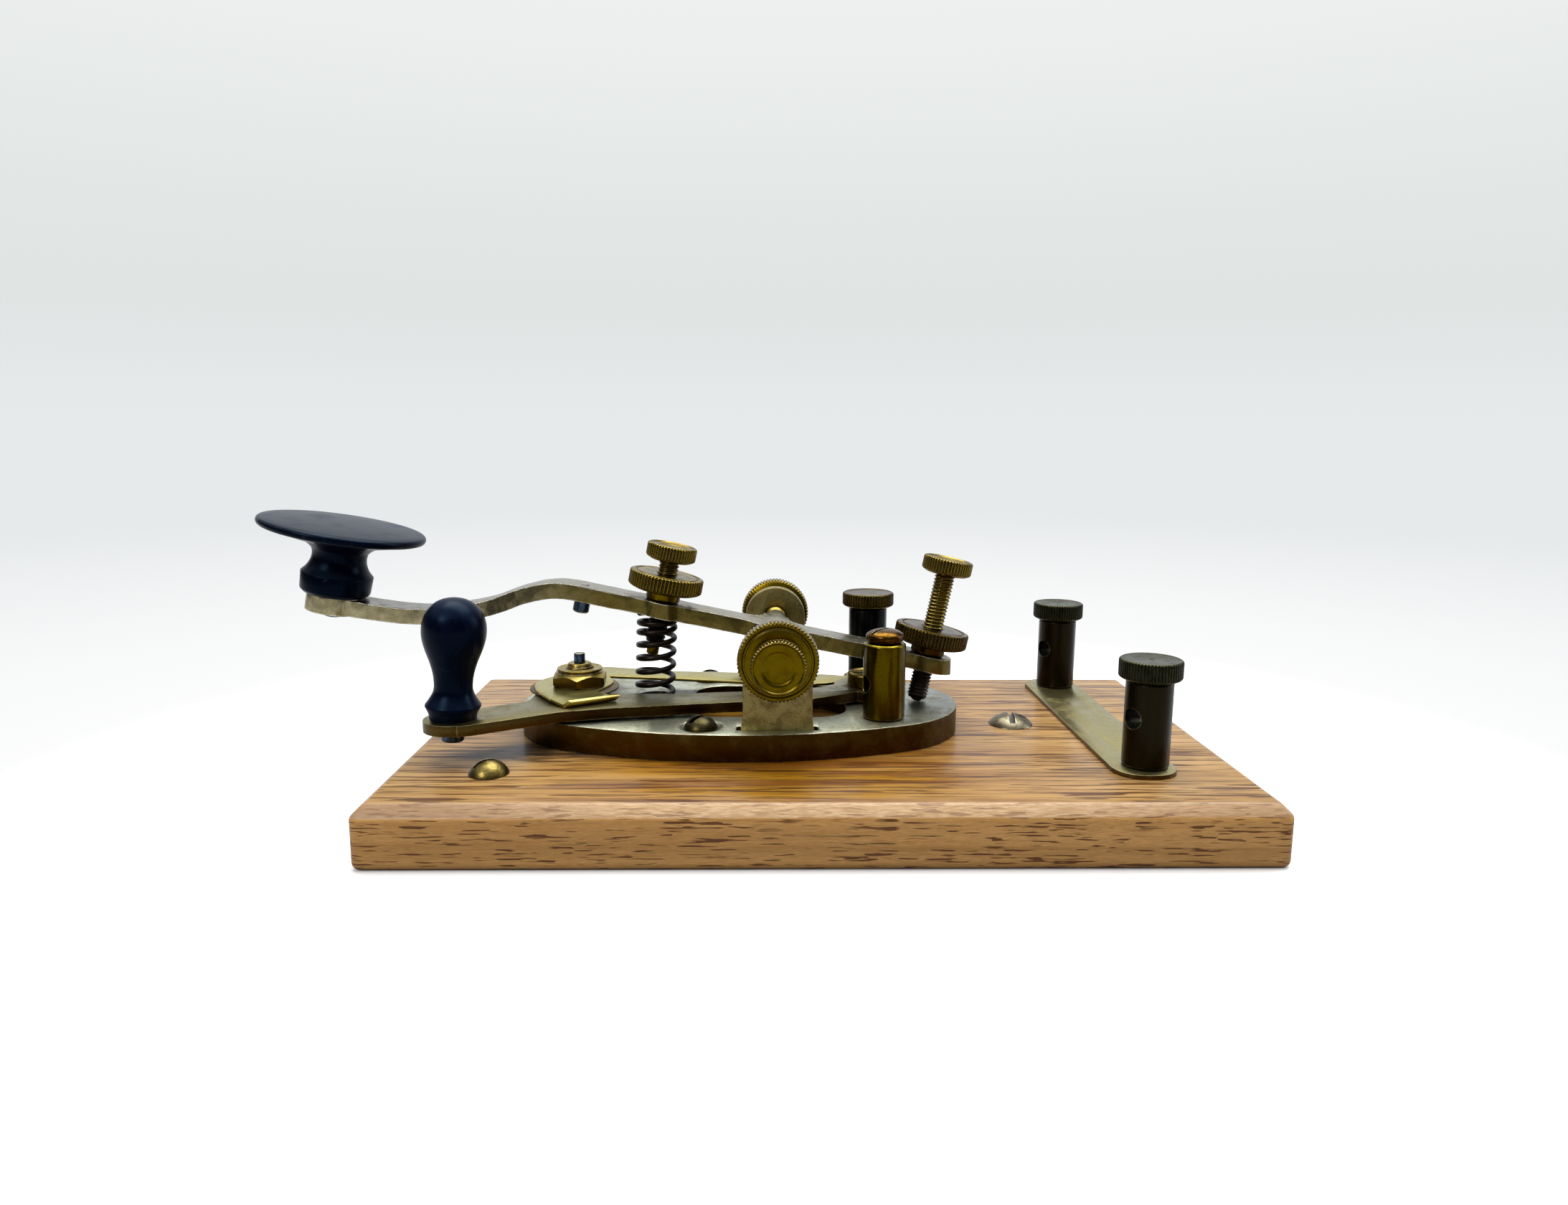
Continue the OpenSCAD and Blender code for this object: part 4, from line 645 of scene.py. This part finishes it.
# The ears: two flat uprights with round tops, set in slots of the plate, that carry the trunnion
# screws. Their nickel has worn through to a pitted khaki grey.
ear_metal = metal(
    "pitted_ear", (0.3, 0.26, 0.115), (0.29, 0.235, 0.085), (0.11, 0.072, 0.02), (0.56, 0.5, 0.32),
    blotch=3.0, stains=0.6, fleck=0.28, flecks=0.7, wear=0.3, gloss=(0.36, 0.58), pits=1.0, pit=0.35)
for side in ("front", "rear"):
    ear = eased_solid("trunnion_ear_" + side, ear_metal, 0.2)
    stand_in("ear_" + side, ear, "trunnion_ear_" + side)


# The anvil: a threaded brass stud with a contact tip, kept off the plate by a fibre bush and a
# wide thin fibre washer, and held by a hexagon nut whose dome and ring are turned in one.
fibre, tree, shell = finish_of("pressed_fibre")
layers = span(tree, grain(tree, (1.5, 1.5, 0.4)), 0.35, 0.7)
tone = mix(tree, layers, (0.075, 0.05, 0.022), (0.13, 0.1, 0.045))
put(tree, tone, shell.inputs["Base Color"])
shell.inputs["Roughness"].default_value = 0.6
put(tree, bumped(tree, grain(tree, (0.3, 0.3, 0.15)), 0.4, 0.05, 0.1), shell.inputs["Normal"])
stud_brass = metal(
    "tarnished_brass", (0.42, 0.32, 0.085), (0.1, 0.056, 0.005), (0.06, 0.03, 0.004), (0.85, 0.74, 0.42),
    blotch=2.5, stains=0.4, flecks=0.35, wear=0.28, gloss=(0.28, 0.46), grooves=(0.02, 0.009, 0.001))
blue_steel = metal(
    "blue_steel_tip", (0.46, 0.43, 0.31), (0.045, 0.072, 0.11), (0.02, 0.02, 0.02), (0.6, 0.6, 0.52),
    blotch=1.5, wear=0.2, gloss=(0.2, 0.4))
anvil_x, key_y = -54.3, 3.0
strap_top, tip_z = 22.8, 30.1


def threaded(d, low, high, finish, step=0.8):
    """Screw thread between two heights, with its core"""
    deep, sectors = 0.34, 28
    core = d / 2 - deep
    tooth = [(core, 0, 1.0), (core + 0.03, step * 0.12, 1.0), (d / 2 - 0.04, step * 0.42, 0.1),
             (d / 2, step * 0.5, 0.0), (d / 2 - 0.04, step * 0.58, 0.1), (core + 0.03, step * 0.88, 1.0),
             (core, step, 1.0)]
    helix = spun([(r, z + low, k) for r, z, k in tooth], finish, sectors, rise=step,
                 turns=(high - low) / step - 1, angle=60)
    return [helix, rod(core + 0.02, low, high, finish, sectors, 0)]


dress("anvil_spacer", fibre)
dress("anvil_lower_washer", fibre)
stand_in("wide_washer", eased_solid("anvil_washer", fibre, 0.1), "anvil_washer")
foot_z, flange_z, neck_z, stud_z = 9.5, 11.9, 27.2, 27.9
flange_r, neck_r, tip_r = 5.3, 2.9, 1.3
thread_d, thread_low, thread_high, thread_step = 6.2, 22.9, 27.4, 0.75
tip = rod(tip_r, tip_z - 3, tip_z, blue_steel, reach=0.25)
body = spun(eased([(0, foot_z), (flange_r, foot_z), (flange_r, flange_z), (neck_r, flange_z),
                   (neck_r, neck_z), (0, neck_z)]), stud_brass, 48)
shoulder = spun(eased([(0, neck_z), (neck_r, neck_z), (2.5, stud_z), (0, stud_z)], 0.2), stud_brass, 48)
stud = joined(body, shoulder, *threaded(thread_d, thread_low, thread_high, stud_brass, thread_step))
stand_in("anvil_stud", placed(stud, (anvil_x, key_y, 0)), "anvil_post")
tip_piece = linked("anvil_tip", placed(tip, (anvil_x, key_y, 0)))
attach(tip_piece, "base")

hex_d, hex_h, dome_h, ring_d, hex_turn = 13.4, 2.5, 1.4, 10.4, 33.5
corners = [radians(60 * k + hex_turn) for k in range(6)]
hexagon = [(hex_d / 2 * cos(a), hex_d / 2 * sin(a)) for a in corners]
prism = bpy.data.meshes.new("prism")
prism.from_pydata([Vector((x, y, z)) * mm for z in (-1, hex_h + 0.6) for x, y in hexagon], [],
                  [range(5, -1, -1), range(6, 12)]
                  + [(k, (k + 1) % 6, (k + 1) % 6 + 6, k + 6) for k in range(6)])
prism.materials.append(stud_brass)
flank = hex_d / 2 * cos(radians(30))
ring_r, nut_top_z, bore = ring_d / 2, hex_h + dome_h, 3.15
dome = [(hex_d / 2 - 0.05, hex_h - 0.55), (flank + 0.25, hex_h - 0.12), (flank - 0.35, hex_h + 0.4),
        (ring_r + 0.35, hex_h + 0.78), (ring_r - 0.05, hex_h + 0.92)]
turned = eased([(0, 0), (flank, 0), (hex_d / 2 - 0.05, 0.4)] + dome + [(0, hex_h + 0.92)], 0.1)
hexnut = carved(spun(turned, stud_brass, 96), prism, "INTERSECT", 30)
ring = eased([(bore, hex_h), (ring_r - 0.15, hex_h), (ring_r - 0.15, hex_h + 0.95), (ring_r, hex_h + 1.02),
              (ring_r, nut_top_z - 0.12), (ring_r - 0.12, nut_top_z), (ring_r - 0.75, nut_top_z),
              (ring_r - 0.9, nut_top_z - 0.16), (bore + 0.55, nut_top_z - 0.16),
              (bore + 0.45, nut_top_z - 0.02), (bore + 0.1, nut_top_z - 0.02), (bore, nut_top_z - 0.3),
              (bore, hex_h)], 0.08)
hexnut = placed(joined(hexnut, spun(ring, stud_brass, 72)), (anvil_x, key_y, strap_top))
stand_in("anvil_hexagon_nut", hexnut, "anvil_nut")


# The contact strap: a strip of thin spring brass, cut with shears. Its tab lies under the anvil's
# nut with a turned-up lip for the closer, and its tail runs level to the far post.
strap_metal = metal(
    "strap_brass", (0.5, 0.44, 0.145), (0.4, 0.28, 0.05), (0.26, 0.21, 0.06), (0.92, 0.72, 0.3),
    blotch=6, stains=0.4, flecks=0.3, wear=0.22, worn=0.9, gloss=(0.28, 0.45))
stand_in("spring_strap", eased_solid("contact_strap", strap_metal, 0.08), "contact_strap")


# The circuit closer: a flat brass arm on a shouldered screw, with a turned black handle on a
# steel stud. The arm is pale grey-green on top and dark at the edge, darkest towards the pivot:
# part patina, part painted shade.
arm_metal = metal(
    "arm_brass", (0.24, 0.22, 0.1), (0.024, 0.008, 0.001), (0.07, 0.042, 0.009), (0.5, 0.42, 0.22),
    blotch=9, stains=0.35, wear=0.35, worn=0.75, gloss=(0.32, 0.5),
    along=((0.085, 0.056, 0.014), (0.25, 0.22, 0.09), -45, -68), even=0.1)
stand_in("closer_bar", eased_solid("closer_arm", arm_metal, 0.22), "closer_arm")
dress("closer_washer", arm_metal)
pivot_at, head_z, screw_l, journal_l = (12.8, 6.8), 21.75, 8.65, 3.05
head = spun(eased([(0, -screw_l), (2.3, -screw_l), (2.3, -journal_l), (3.2, -journal_l), (3.2, 0), (4.5, 0),
                   (4.5, 2.6), (4.1, 3.1), (3.4, 3.1), (3.3, 2.85), (0, 2.85)], 0.15), stud_brass, 72)
slot_w, slot_foot = 1.2, 2.0
head = carved(head, block((20, slot_w, 2), stud_brass, (0, 0, slot_foot + 1)))
stand_in("closer_pivot", placed(head, (*pivot_at, head_z)), "closer_pivot_screw")


def curve_through(points, steps):
    """Smooth outline through a few points"""
    made = []
    for i in range(len(points) - 1):
        a, b, c, d = (Vector(points[min(max(k, 0), len(points) - 1)]) for k in (i - 1, i, i + 1, i + 2))
        for s in range(steps):
            t = s / steps
            p = 0.5 * (2 * b + (c - a) * t + (2 * a - 5 * b + 4 * c - d) * t ** 2
                       + (3 * b - a - 3 * c + d) * t ** 3)
            made.append(tuple(p))
    return made + [tuple(points[-1])]


def hard_rubber(name, body, sheen, scratch, top):
    """Black hard rubber, polished and then dulled by hands: fine scratches and a faint bloom; faces that
    look up take the top tone, a painted sheen
    """
    made, tree, shell = finish_of(name)
    bloom = span(tree, grain(tree, (5, 5, 5), 4.0, 0.6), 0.4, 0.7)
    lines = span(tree, grain(tree, (3.5, 0.12, 3.5), 2.0, 0.6, 0.6), 0.62, 0.7)
    tone = mix(tree, times(tree, bloom, 0.4), body, sheen)
    # Faces that look up take the top tone: a painted sheen of the bright room.
    tone = mix(tree, times(tree, facing_up(tree), span(tree, bloom, -1.2, 1.2)), tone, top)
    rub = times(tree, worn_edge(tree, 0.7), 0.5)
    tone = mix(tree, rub, tone, scratch)
    put(tree, mix(tree, times(tree, lines, 0.35), tone, scratch), shell.inputs["Base Color"])
    dull = maths(tree, "ADD", times(tree, bloom, 0.5), times(tree, lines, 0.5))
    put(tree, span(tree, dull, 0, 1, 0.28, 0.42), shell.inputs["Roughness"])
    shell.inputs["Specular IOR Level"].default_value = 0.075
    shell.inputs["Specular Tint"].default_value = (0.3, 0.6, 1.0, 1)
    put(tree, bumped(tree, grain(tree, (0.6, 0.6, 0.6), 3.0, 0.6), 0.18, 0.06), shell.inputs["Normal"])
    return made


handle_rubber = hard_rubber(
    "handle_rubber", (0.0004, 0.0008, 0.005), (0.001, 0.0024, 0.011), (0.012, 0.022, 0.045),
    (0.003, 0.007, 0.018))
handle_at, arm_top, lean, handle_h, handle_r = (-76.6, -22.4), 21.7, 3.3, 25.6, 6.55
swell = curve_through([(0.87, 3), (0.73, 4.4), (0.625, 5.8), (0.6, 7.3), (0.64, 9.7), (0.745, 12.2),
                       (0.88, 14.6), (0.97, 16.7), (1.0, handle_h - 7), (0.975, handle_h - 5.2),
                       (0.87, handle_h - 3.2), (0.64, handle_h - 1.4), (0.34, handle_h - 0.35),
                       (0, handle_h)], 5)
outline = eased([(0, -0.1), (0.73, -0.1), (0.73, 0.3), (0.77, 1.4), (0.87, 2.7)], 0.2) + swell
handle = spun([(r * handle_r, z) for r, z in outline], handle_rubber, 96, angle=60)
stand_in("closer_knob", placed(handle, (*handle_at, arm_top), lean), "closer_handle")
stud = spun(eased([(0, -4.9), (2.0, -4.9), (2.35, -4.6), (2.35, 7.9), (0, 7.9)]), blue_steel, 40)
stand_in("handle_stud", placed(stud, (*handle_at, arm_top), lean), "closer_handle_stud")


# The plate posts: turned brass pillars with a cross hole for a wire and a clamping screw on top.
# The near one is bare olive brass under a coppery slotted head, the far one is blackened.
def post(d, h, hole_d, hole_h, turn, finish):
    """Pillar with its wire hole and the bore of its clamping screw, its foot at zero"""
    bore = 1.76
    pillar = spun(eased([(0, 0), (d / 2 - 0.4, 0), (d / 2, 0.4), (d / 2, h - 0.4), (d / 2 - 0.4, h),
                         (bore, h), (bore, hole_h), (0, hole_h)], 0.14), finish, 80)
    drill = rod(hole_d / 2, -d, d, finish, 48, 0)
    return carved(pillar, placed(placed(drill, (0, 0, 0), 90), (0, 0, hole_h), turn=turn), angle=32)


olive_brass = metal(
    "olive_brass_post", (0.26, 0.19, 0.014), (0.075, 0.051, 0.0009), (0.035, 0.008, 0.0005),
    (0.8, 0.66, 0.28), streak=(1.1, 1.1, 12), stains=0.65, flecks=0.4, wear=0.35, gloss=(0.18, 0.34))
black_brass = metal(
    "blackened_brass", (0.07, 0.07, 0.045), (0.009, 0.0065, 0.0014), (0.02, 0.013, 0.002),
    (0.26, 0.24, 0.14), streak=(2.0, 2.0, 9), flecks=0.4, wear=0.3, worn=0.6, gloss=(0.26, 0.44), bare=0.9,
    grooves=(0.003, 0.003, 0.002))
blue_black = metal(
    "blue_black_brass", (0.02, 0.024, 0.028), (0.003, 0.004, 0.005), (0.01, 0.008, 0.003),
    (0.2, 0.24, 0.28), streak=(2.0, 2.0, 9), wear=0.4, worn=0.6, gloss=(0.24, 0.42), bare=0.9)
copper = metal(
    "coppery_head", (0.12, 0.058, 0.005), (0.085, 0.035, 0.004), (0.012, 0.003, 0.001), (0.78, 0.56, 0.26),
    blotch=2.0, stains=0.6, wear=0.3, gloss=(0.18, 0.38))
near_at, far_at, far_foot, face_gap = (14.9, -11.0), (14.2, 21.0), 21.0, 0.05
post_d, post_h, post_hole_d, post_hole_h = 9.3, 16.9, 3.8, 7.9
pillar = post(post_d, post_h, post_hole_d, post_hole_h, 18, olive_brass)
stand_in("near_post", placed(pillar, (*near_at, plate_top)), "plate_post_front")
pillar = post(post_d, post_h, post_hole_d, post_hole_h, 34, blue_black)
stand_in("far_post", placed(pillar, (*far_at, far_foot)), "plate_post_rear")
clamp_r, clamp_l, slot_w, slot_foot = 1.7, 6.8, 0.8, 1.9
crown = curve_through([(2.75, 0), (3.75, 0.3), (4.17, 1.1), (3.95, 1.9), (3.0, 2.55), (1.6, 2.92),
                       (0, 3.0)], 6)
crown = spun([(0, -clamp_l), (clamp_r, -clamp_l), (clamp_r, -0.01)] + crown, copper, 80)
crown = carved(crown, block((14, slot_w, 3), copper, (0, 0, slot_foot + 1.5), 35))
crown = placed(crown, (*near_at, plate_top + post_h + face_gap))
stand_in("near_clamp_screw", crown, "clamp_screw_front")
for source, finish in (("rear_post_insulator", fibre), ("rear_post_lower_insulator", fibre),
                       ("post_screw_front", stud_brass), ("post_screw_rear", stud_brass)):
    dress(source, finish)


# The thumbscrews: turned heads with a knurled rim and a shallow dish, in yellow-olive or browned
# brass whose grooves hold dark grease. The far post has a brown one with a plain clamping shank.
handled = {"blotch": 3.0, "fleck": 0.35, "flecks": 0.12, "worn": 0.7, "gloss": (0.25, 0.42), "pits": 0.25,
           "grooves": (0.002, 0.001, 0.0001), "even": 0.7}
nut_brass = metal(
    "knurled_brass", (0.23, 0.165, 0.03), (0.12, 0.078, 0.0012), (0.08, 0.038, 0.0008), (0.48, 0.37, 0.13),
    stains=0.4, wear=0.22, **handled)
dark_nut_brass = metal(
    "browned_knurled_brass", (0.085, 0.054, 0.008), (0.045, 0.024, 0.0008), (0.026, 0.011, 0.0005),
    (0.4, 0.3, 0.11), stains=0.35, wear=0.2, **handled)


def thumb_head(d, band, teeth, finish, dish=0.3, bowl=0.6, pit=0.0):
    """Knurled head, its underside at zero, its face turned out to a dish and a bowl in its middle"""
    r, top = d / 2, 0.6 + band + 0.35
    face = [(r - 0.35, top, 0.3), (r * 0.9, top), (r * 0.86, top - dish)]
    if bowl:
        face += [(r * bowl + 0.5, top - dish), (r * bowl + 0.1, top - dish - 0.08),
                 (r * bowl - 0.3, top - dish - 0.3)]
        dish += 0.34
    if pit:
        face += [(0.45, top - dish), (0.3, top - dish - pit)]
    face.append((0, top - dish - pit))
    outline = [(0, 0), (r - 1.2, 0), (r - 0.3, 0.45, 0.2), (r - 0.05, 0.7, 1), (r, 0.95, 1),
               (r, top - 0.5, 1), (r - 0.08, top - 0.22, 1)] + face
    return spun(eased(outline, 0.12, 2), finish, teeth, 6, 0.3)


shank = rod(clamp_r, -6.75, 0.2, nut_brass)
head = thumb_head(12.6, 2.7, 56, dark_nut_brass, dish=0.15, bowl=0)
screw = placed(joined(head, shank), (*far_at, far_foot + post_h + face_gap))
stand_in("far_thumbscrew", screw, "thumbscrew_rear")


# The terminals: two blackened posts on a strip of sheet brass at the board's end, with wider
# knurled heads. Screws from under the board hold them.
strip_metal = metal(
    "terminal_strip_brass", (0.4, 0.35, 0.155), (0.08, 0.04, 0.01), (0.24, 0.2, 0.08), (0.62, 0.54, 0.3),
    blotch=6, stains=0.55, flecks=0.4, wear=0.3, gloss=(0.3, 0.5))
stand_in("sheet_strip", eased_solid("terminal_strip", strip_metal, 0.15), "terminal_strip")
cap_metal = metal(
    "mottled_black_head", (0.052, 0.05, 0.018), (0.005, 0.0055, 0.001), (0.02, 0.018, 0.004),
    (0.26, 0.26, 0.14), blotch=1.3, stains=0.6, fleck=0.3, wear=0.2, worn=0.5, gloss=(0.32, 0.5), bare=0.9,
    grooves=(0.001, 0.001, 0.0004), even=0.4)
terminals = {"front": (67.153, -29.29), "rear": (66.447, 38.107)}
strip_top, terminal_d, terminal_h, terminal_hole_d, terminal_hole_h = 13.7, 9.5, 18, 4.3, 10.4
for side, at in terminals.items():
    pillar = post(terminal_d, terminal_h, terminal_hole_d, terminal_hole_h, 28, black_brass)
    pillar = placed(pillar, (*at, strip_top))
    stand_in("terminal_pillar_" + side, pillar, "terminal_post_" + side)
    head = thumb_head(12.7, 3.4, 60, cap_metal, dish=0.12, bowl=0, pit=0.35)
    shank = rod(clamp_r, -5.1, 0.2, cap_metal)
    screw = placed(joined(head, shank), (*at, strip_top + terminal_h + face_gap))
    stand_in("terminal_cap_" + side, screw, "terminal_thumbscrew_" + side)
dress("terminal_fixing_screws", stud_brass)


# The lever: one nickelled bar with a cross arm, filed by hand at its bosses and humped over the
# arm. The nickel is dull grey above and worn to khaki and brown along the sides.
lever_metal = metal(
    "worn_nickel", (0.36, 0.34, 0.26), (0.125, 0.095, 0.023), (0.09, 0.062, 0.017), (0.95, 0.92, 0.78),
    blotch=3.2, stains=0.3, fleck=0.3, flecks=0.35, wear=0.4, worn=1.0, gloss=(0.27, 0.43), pits=0.45,
    along=((0.36, 0.315, 0.18), (0.3, 0.29, 0.24), -45, -85), even=0.4, facets=0.24)
bar = eased_solid("lever", lever_metal, 0.3, 3, file_step=1.7, file_depth=0.1)
stand_in("rocking_lever", bar, "lever")
dress("upper_contact", blue_steel)
trunnion_x, axis_z, slope = -8.7, 34.7, 11.5
knob_at, knob_tilt, pad_t = (trunnion_x - 101.2, key_y, axis_z + 7.3), 10.6, 4.0
knob_screw = spun(eased([(0, -5.3), (1.7, -5.3), (2.0, -5.0), (2.0, 7.5), (0, 7.5)]), steel, 32)
knob_screw = placed(placed(knob_screw, (0, 0, pad_t / 2)), knob_at, knob_tilt)
stand_in("knob_stud", knob_screw, "knob_screw")


# The knob: a wide flat disc on a waisted stem, turned in hard rubber. Its top carries a painted grey
# sheen, a painted reflection of the bright room; the stem is still blue-black.
knob_rubber = hard_rubber(
    "knob_rubber", (0.0003, 0.0006, 0.004), (0.0008, 0.0016, 0.009), (0.018, 0.024, 0.038),
    (0.006, 0.01, 0.019))
knob_r, waist, collar, knob_h, rim = 18.0, 5.9, 7.8, 14.9, 0.9
stem = curve_through([(collar - 0.05, knob_h - 10.2), (waist + 0.7, knob_h - 8.8), (waist, knob_h - 6.8),
                      (waist + 0.3, knob_h - 4.8), (waist + 2.2, knob_h - 3.2)], 5)
edge = [(knob_r - rim + rim * cos(radians(a)), knob_h + rim * sin(radians(a)))
        for a in range(-75, 76, 15)]
outline = eased([(0, 0), (collar - 1, 0), (collar - 0.2, 0.8), (collar, knob_h - 10.3)], 0.25) + stem
outline += [(knob_r - 2.2, knob_h - rim - 0.3)] + edge
outline += [(knob_r - 2.4, knob_h + rim + 0.15), (knob_r / 2, knob_h + rim + 0.5), (0, knob_h + rim + 0.6)]
knob = placed(spun(outline, knob_rubber, 128, angle=50), (0, 0, pad_t / 2))
stand_in("finger_knob", placed(knob, knob_at, knob_tilt), "lever_knob")


# The trunnion screws: knurled heads on threads that end in journals, one in each ear, with
# knurled lock nuts. Their axis is the lever's.
def lock_nut(bore_d, finish):
    """Knurled nut standing on its hub, with a ring line turned in its face"""
    r, top = 8.5, nut_h
    outline = [(bore_d / 2, 0), (3.6, 0), (3.9, 0.3), (3.9, 2.2), (r - 1.5, 2.2), (r - 0.5, 2.6, 0.2),
               (r - 0.06, 2.95, 1), (r, 3.2, 1), (r, top - 0.4, 1), (r - 0.1, top - 0.15, 1),
               (r - 0.45, top, 0.3), (7.45, top), (7.35, top - 0.28), (6.95, top - 0.28), (6.85, top),
               (bore_d / 2 + 0.35, top), (bore_d / 2, top - 0.3), (bore_d / 2, 0)]
    return spun(eased(outline, 0.12, 2), finish, 64, 6, 0.34)


nut_seat, ear_out, nut_h, head_stand = 0.05, 24.2, 6.2, 2.0
trunnion_d, journal_r, journal_from, thread_from = 5.2, 1.5, 12.3, 17
head_from = ear_out + nut_seat + nut_h + head_stand
for side, lay in (("front", 90), ("rear", -90)):
    at = (trunnion_x, key_y, axis_z)
    nut = placed(lock_nut(trunnion_d, nut_brass), (0, 0, ear_out + nut_seat))
    stand_in("trunnion_lock_nut_" + side, placed(nut, at, lay=lay), "trunnion_nut_" + side)
    journal = spun(eased([(0, journal_from), (1.1, journal_from), (journal_r, journal_from + 0.4),
                          (journal_r, thread_from), (2.25, thread_from), (2.25, head_from + 0.2),
                          (0, head_from + 0.2)]), nut_brass, 40)
    head = placed(thumb_head(11.4, 2.7, 50, nut_brass), (0, 0, head_from))
    screw = joined(head, journal, *threaded(trunnion_d, thread_from, head_from + 0.3, nut_brass))
    screw = placed(screw, at, lay=lay)
    stand_in("trunnion_thumbscrew_" + side, screw, "trunnion_screw_" + side)


# The adjusting screws: one presses on the return spring, the other sets the gap. Both go through
# the lever square to its slope and are locked by the same knurled nuts.
def bar_place(reach):
    """Middle of the bar at a distance from the trunnion axis"""
    return (trunnion_x + reach, key_y, axis_z + bar_over_axis - reach * tan(radians(slope)))


spring_steel = metal(
    "black_spring_wire", (0.022, 0.016, 0.014), (0.008, 0.005, 0.004), (0.022, 0.009, 0.005),
    (0.16, 0.13, 0.11), blotch=1.5, fleck=0.3, wear=0.2, gloss=(0.3, 0.48), bare=0.85)
nut_foot, adjust_d, bar_over_axis = 1.8, 4.7, 0.7
nut_top = nut_foot + nut_h
for name, reach, stand, low in (("spring", -26.6, 3.1, -8.0), ("gap", 34.7, 12.8, -8.9)):
    at = bar_place(reach)
    nut = placed(lock_nut(adjust_d, dark_nut_brass if name == "gap" else nut_brass), (0, 0, nut_foot))
    stand_in(name + "_lock_nut", placed(nut, at, slope), name + "_nut")
    head = placed(thumb_head(11.4, 2.7, 50, nut_brass), (0, 0, nut_top + stand))
    # From the bar down, the thread is in the black spring wire finish: painted shade for the dark under the
    # lever.
    parts = [head, *threaded(adjust_d, 0, nut_top + stand + 0.3, nut_brass),
             *threaded(adjust_d, low, 1.2, spring_steel)]
    if name == "spring":
        end = [(0, low - 3.1), (1.2, low - 3.1), (1.4, low - 2.9), (1.4, low + 0.2), (0, low + 0.2)]
    else:
        tip_gap = 0.225
        foot = -(at[2] - plate_top - tip_gap) / cos(radians(slope))
        end = [(0, foot), (1.0, foot), (1.95, low + 0.5), (0, low + 0.5)]
    parts.append(spun(eased(end), nut_brass, 32))
    stand_in(name + "_thumbscrew", placed(joined(*parts), at, slope), name + "_screw")


# The return spring: blackened steel wire wound by hand on a mandrel, in open coils, with a flat
# half turn at its foot and a raised top end. It pushes the lever up.
wire_d, coil_r = 1.3, 4.1
foot_x, top_x = -37.0, -36.1
# Height of the wire at each half turn
heights = [19.4, 19.4, 20.95, 22.7, 24.3, 25.8, 27.4, 29.0, 30.5, 32.1, 33.6, 35.1, 36.1, 37.4,
           37.75, 39.45]
path = []
for n, height in curve_through(list(enumerate(heights)), 12):
    a = pi * n
    middle = foot_x + (top_x - foot_x) * n / (len(heights) - 1)
    path.append(Vector((middle + coil_r * cos(a), key_y + coil_r * sin(a), height)) * mm)


def wire_rule():
    """Round wire along a line of points"""
    tree, given = new_rule("wire along a line", Radius="Float")
    line = node(tree, "GeometryNodeMeshToCurve", {"Mesh": given["Geometry"]})
    ring = node(tree, "GeometryNodeCurvePrimitiveCircle", {"Resolution": 16, "Radius": given["Radius"]})
    tube = node(tree, "GeometryNodeCurveToMesh", {"Curve": line.outputs[0],
                "Profile Curve": ring.outputs[0], "Fill Caps": True})
    return end_rule(tree, tube.outputs[0], given)


line = bpy.data.meshes.new("wire_line")
line.from_pydata(path, [(k, k + 1) for k in range(len(path) - 1)], [])
wire = by_rule(line, wire_rule(), {"Radius": wire_d / 2 * mm, "Finish": spring_steel}, 60)
spring = linked("coil_spring", wire)
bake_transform(spring)
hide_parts("return_spring")
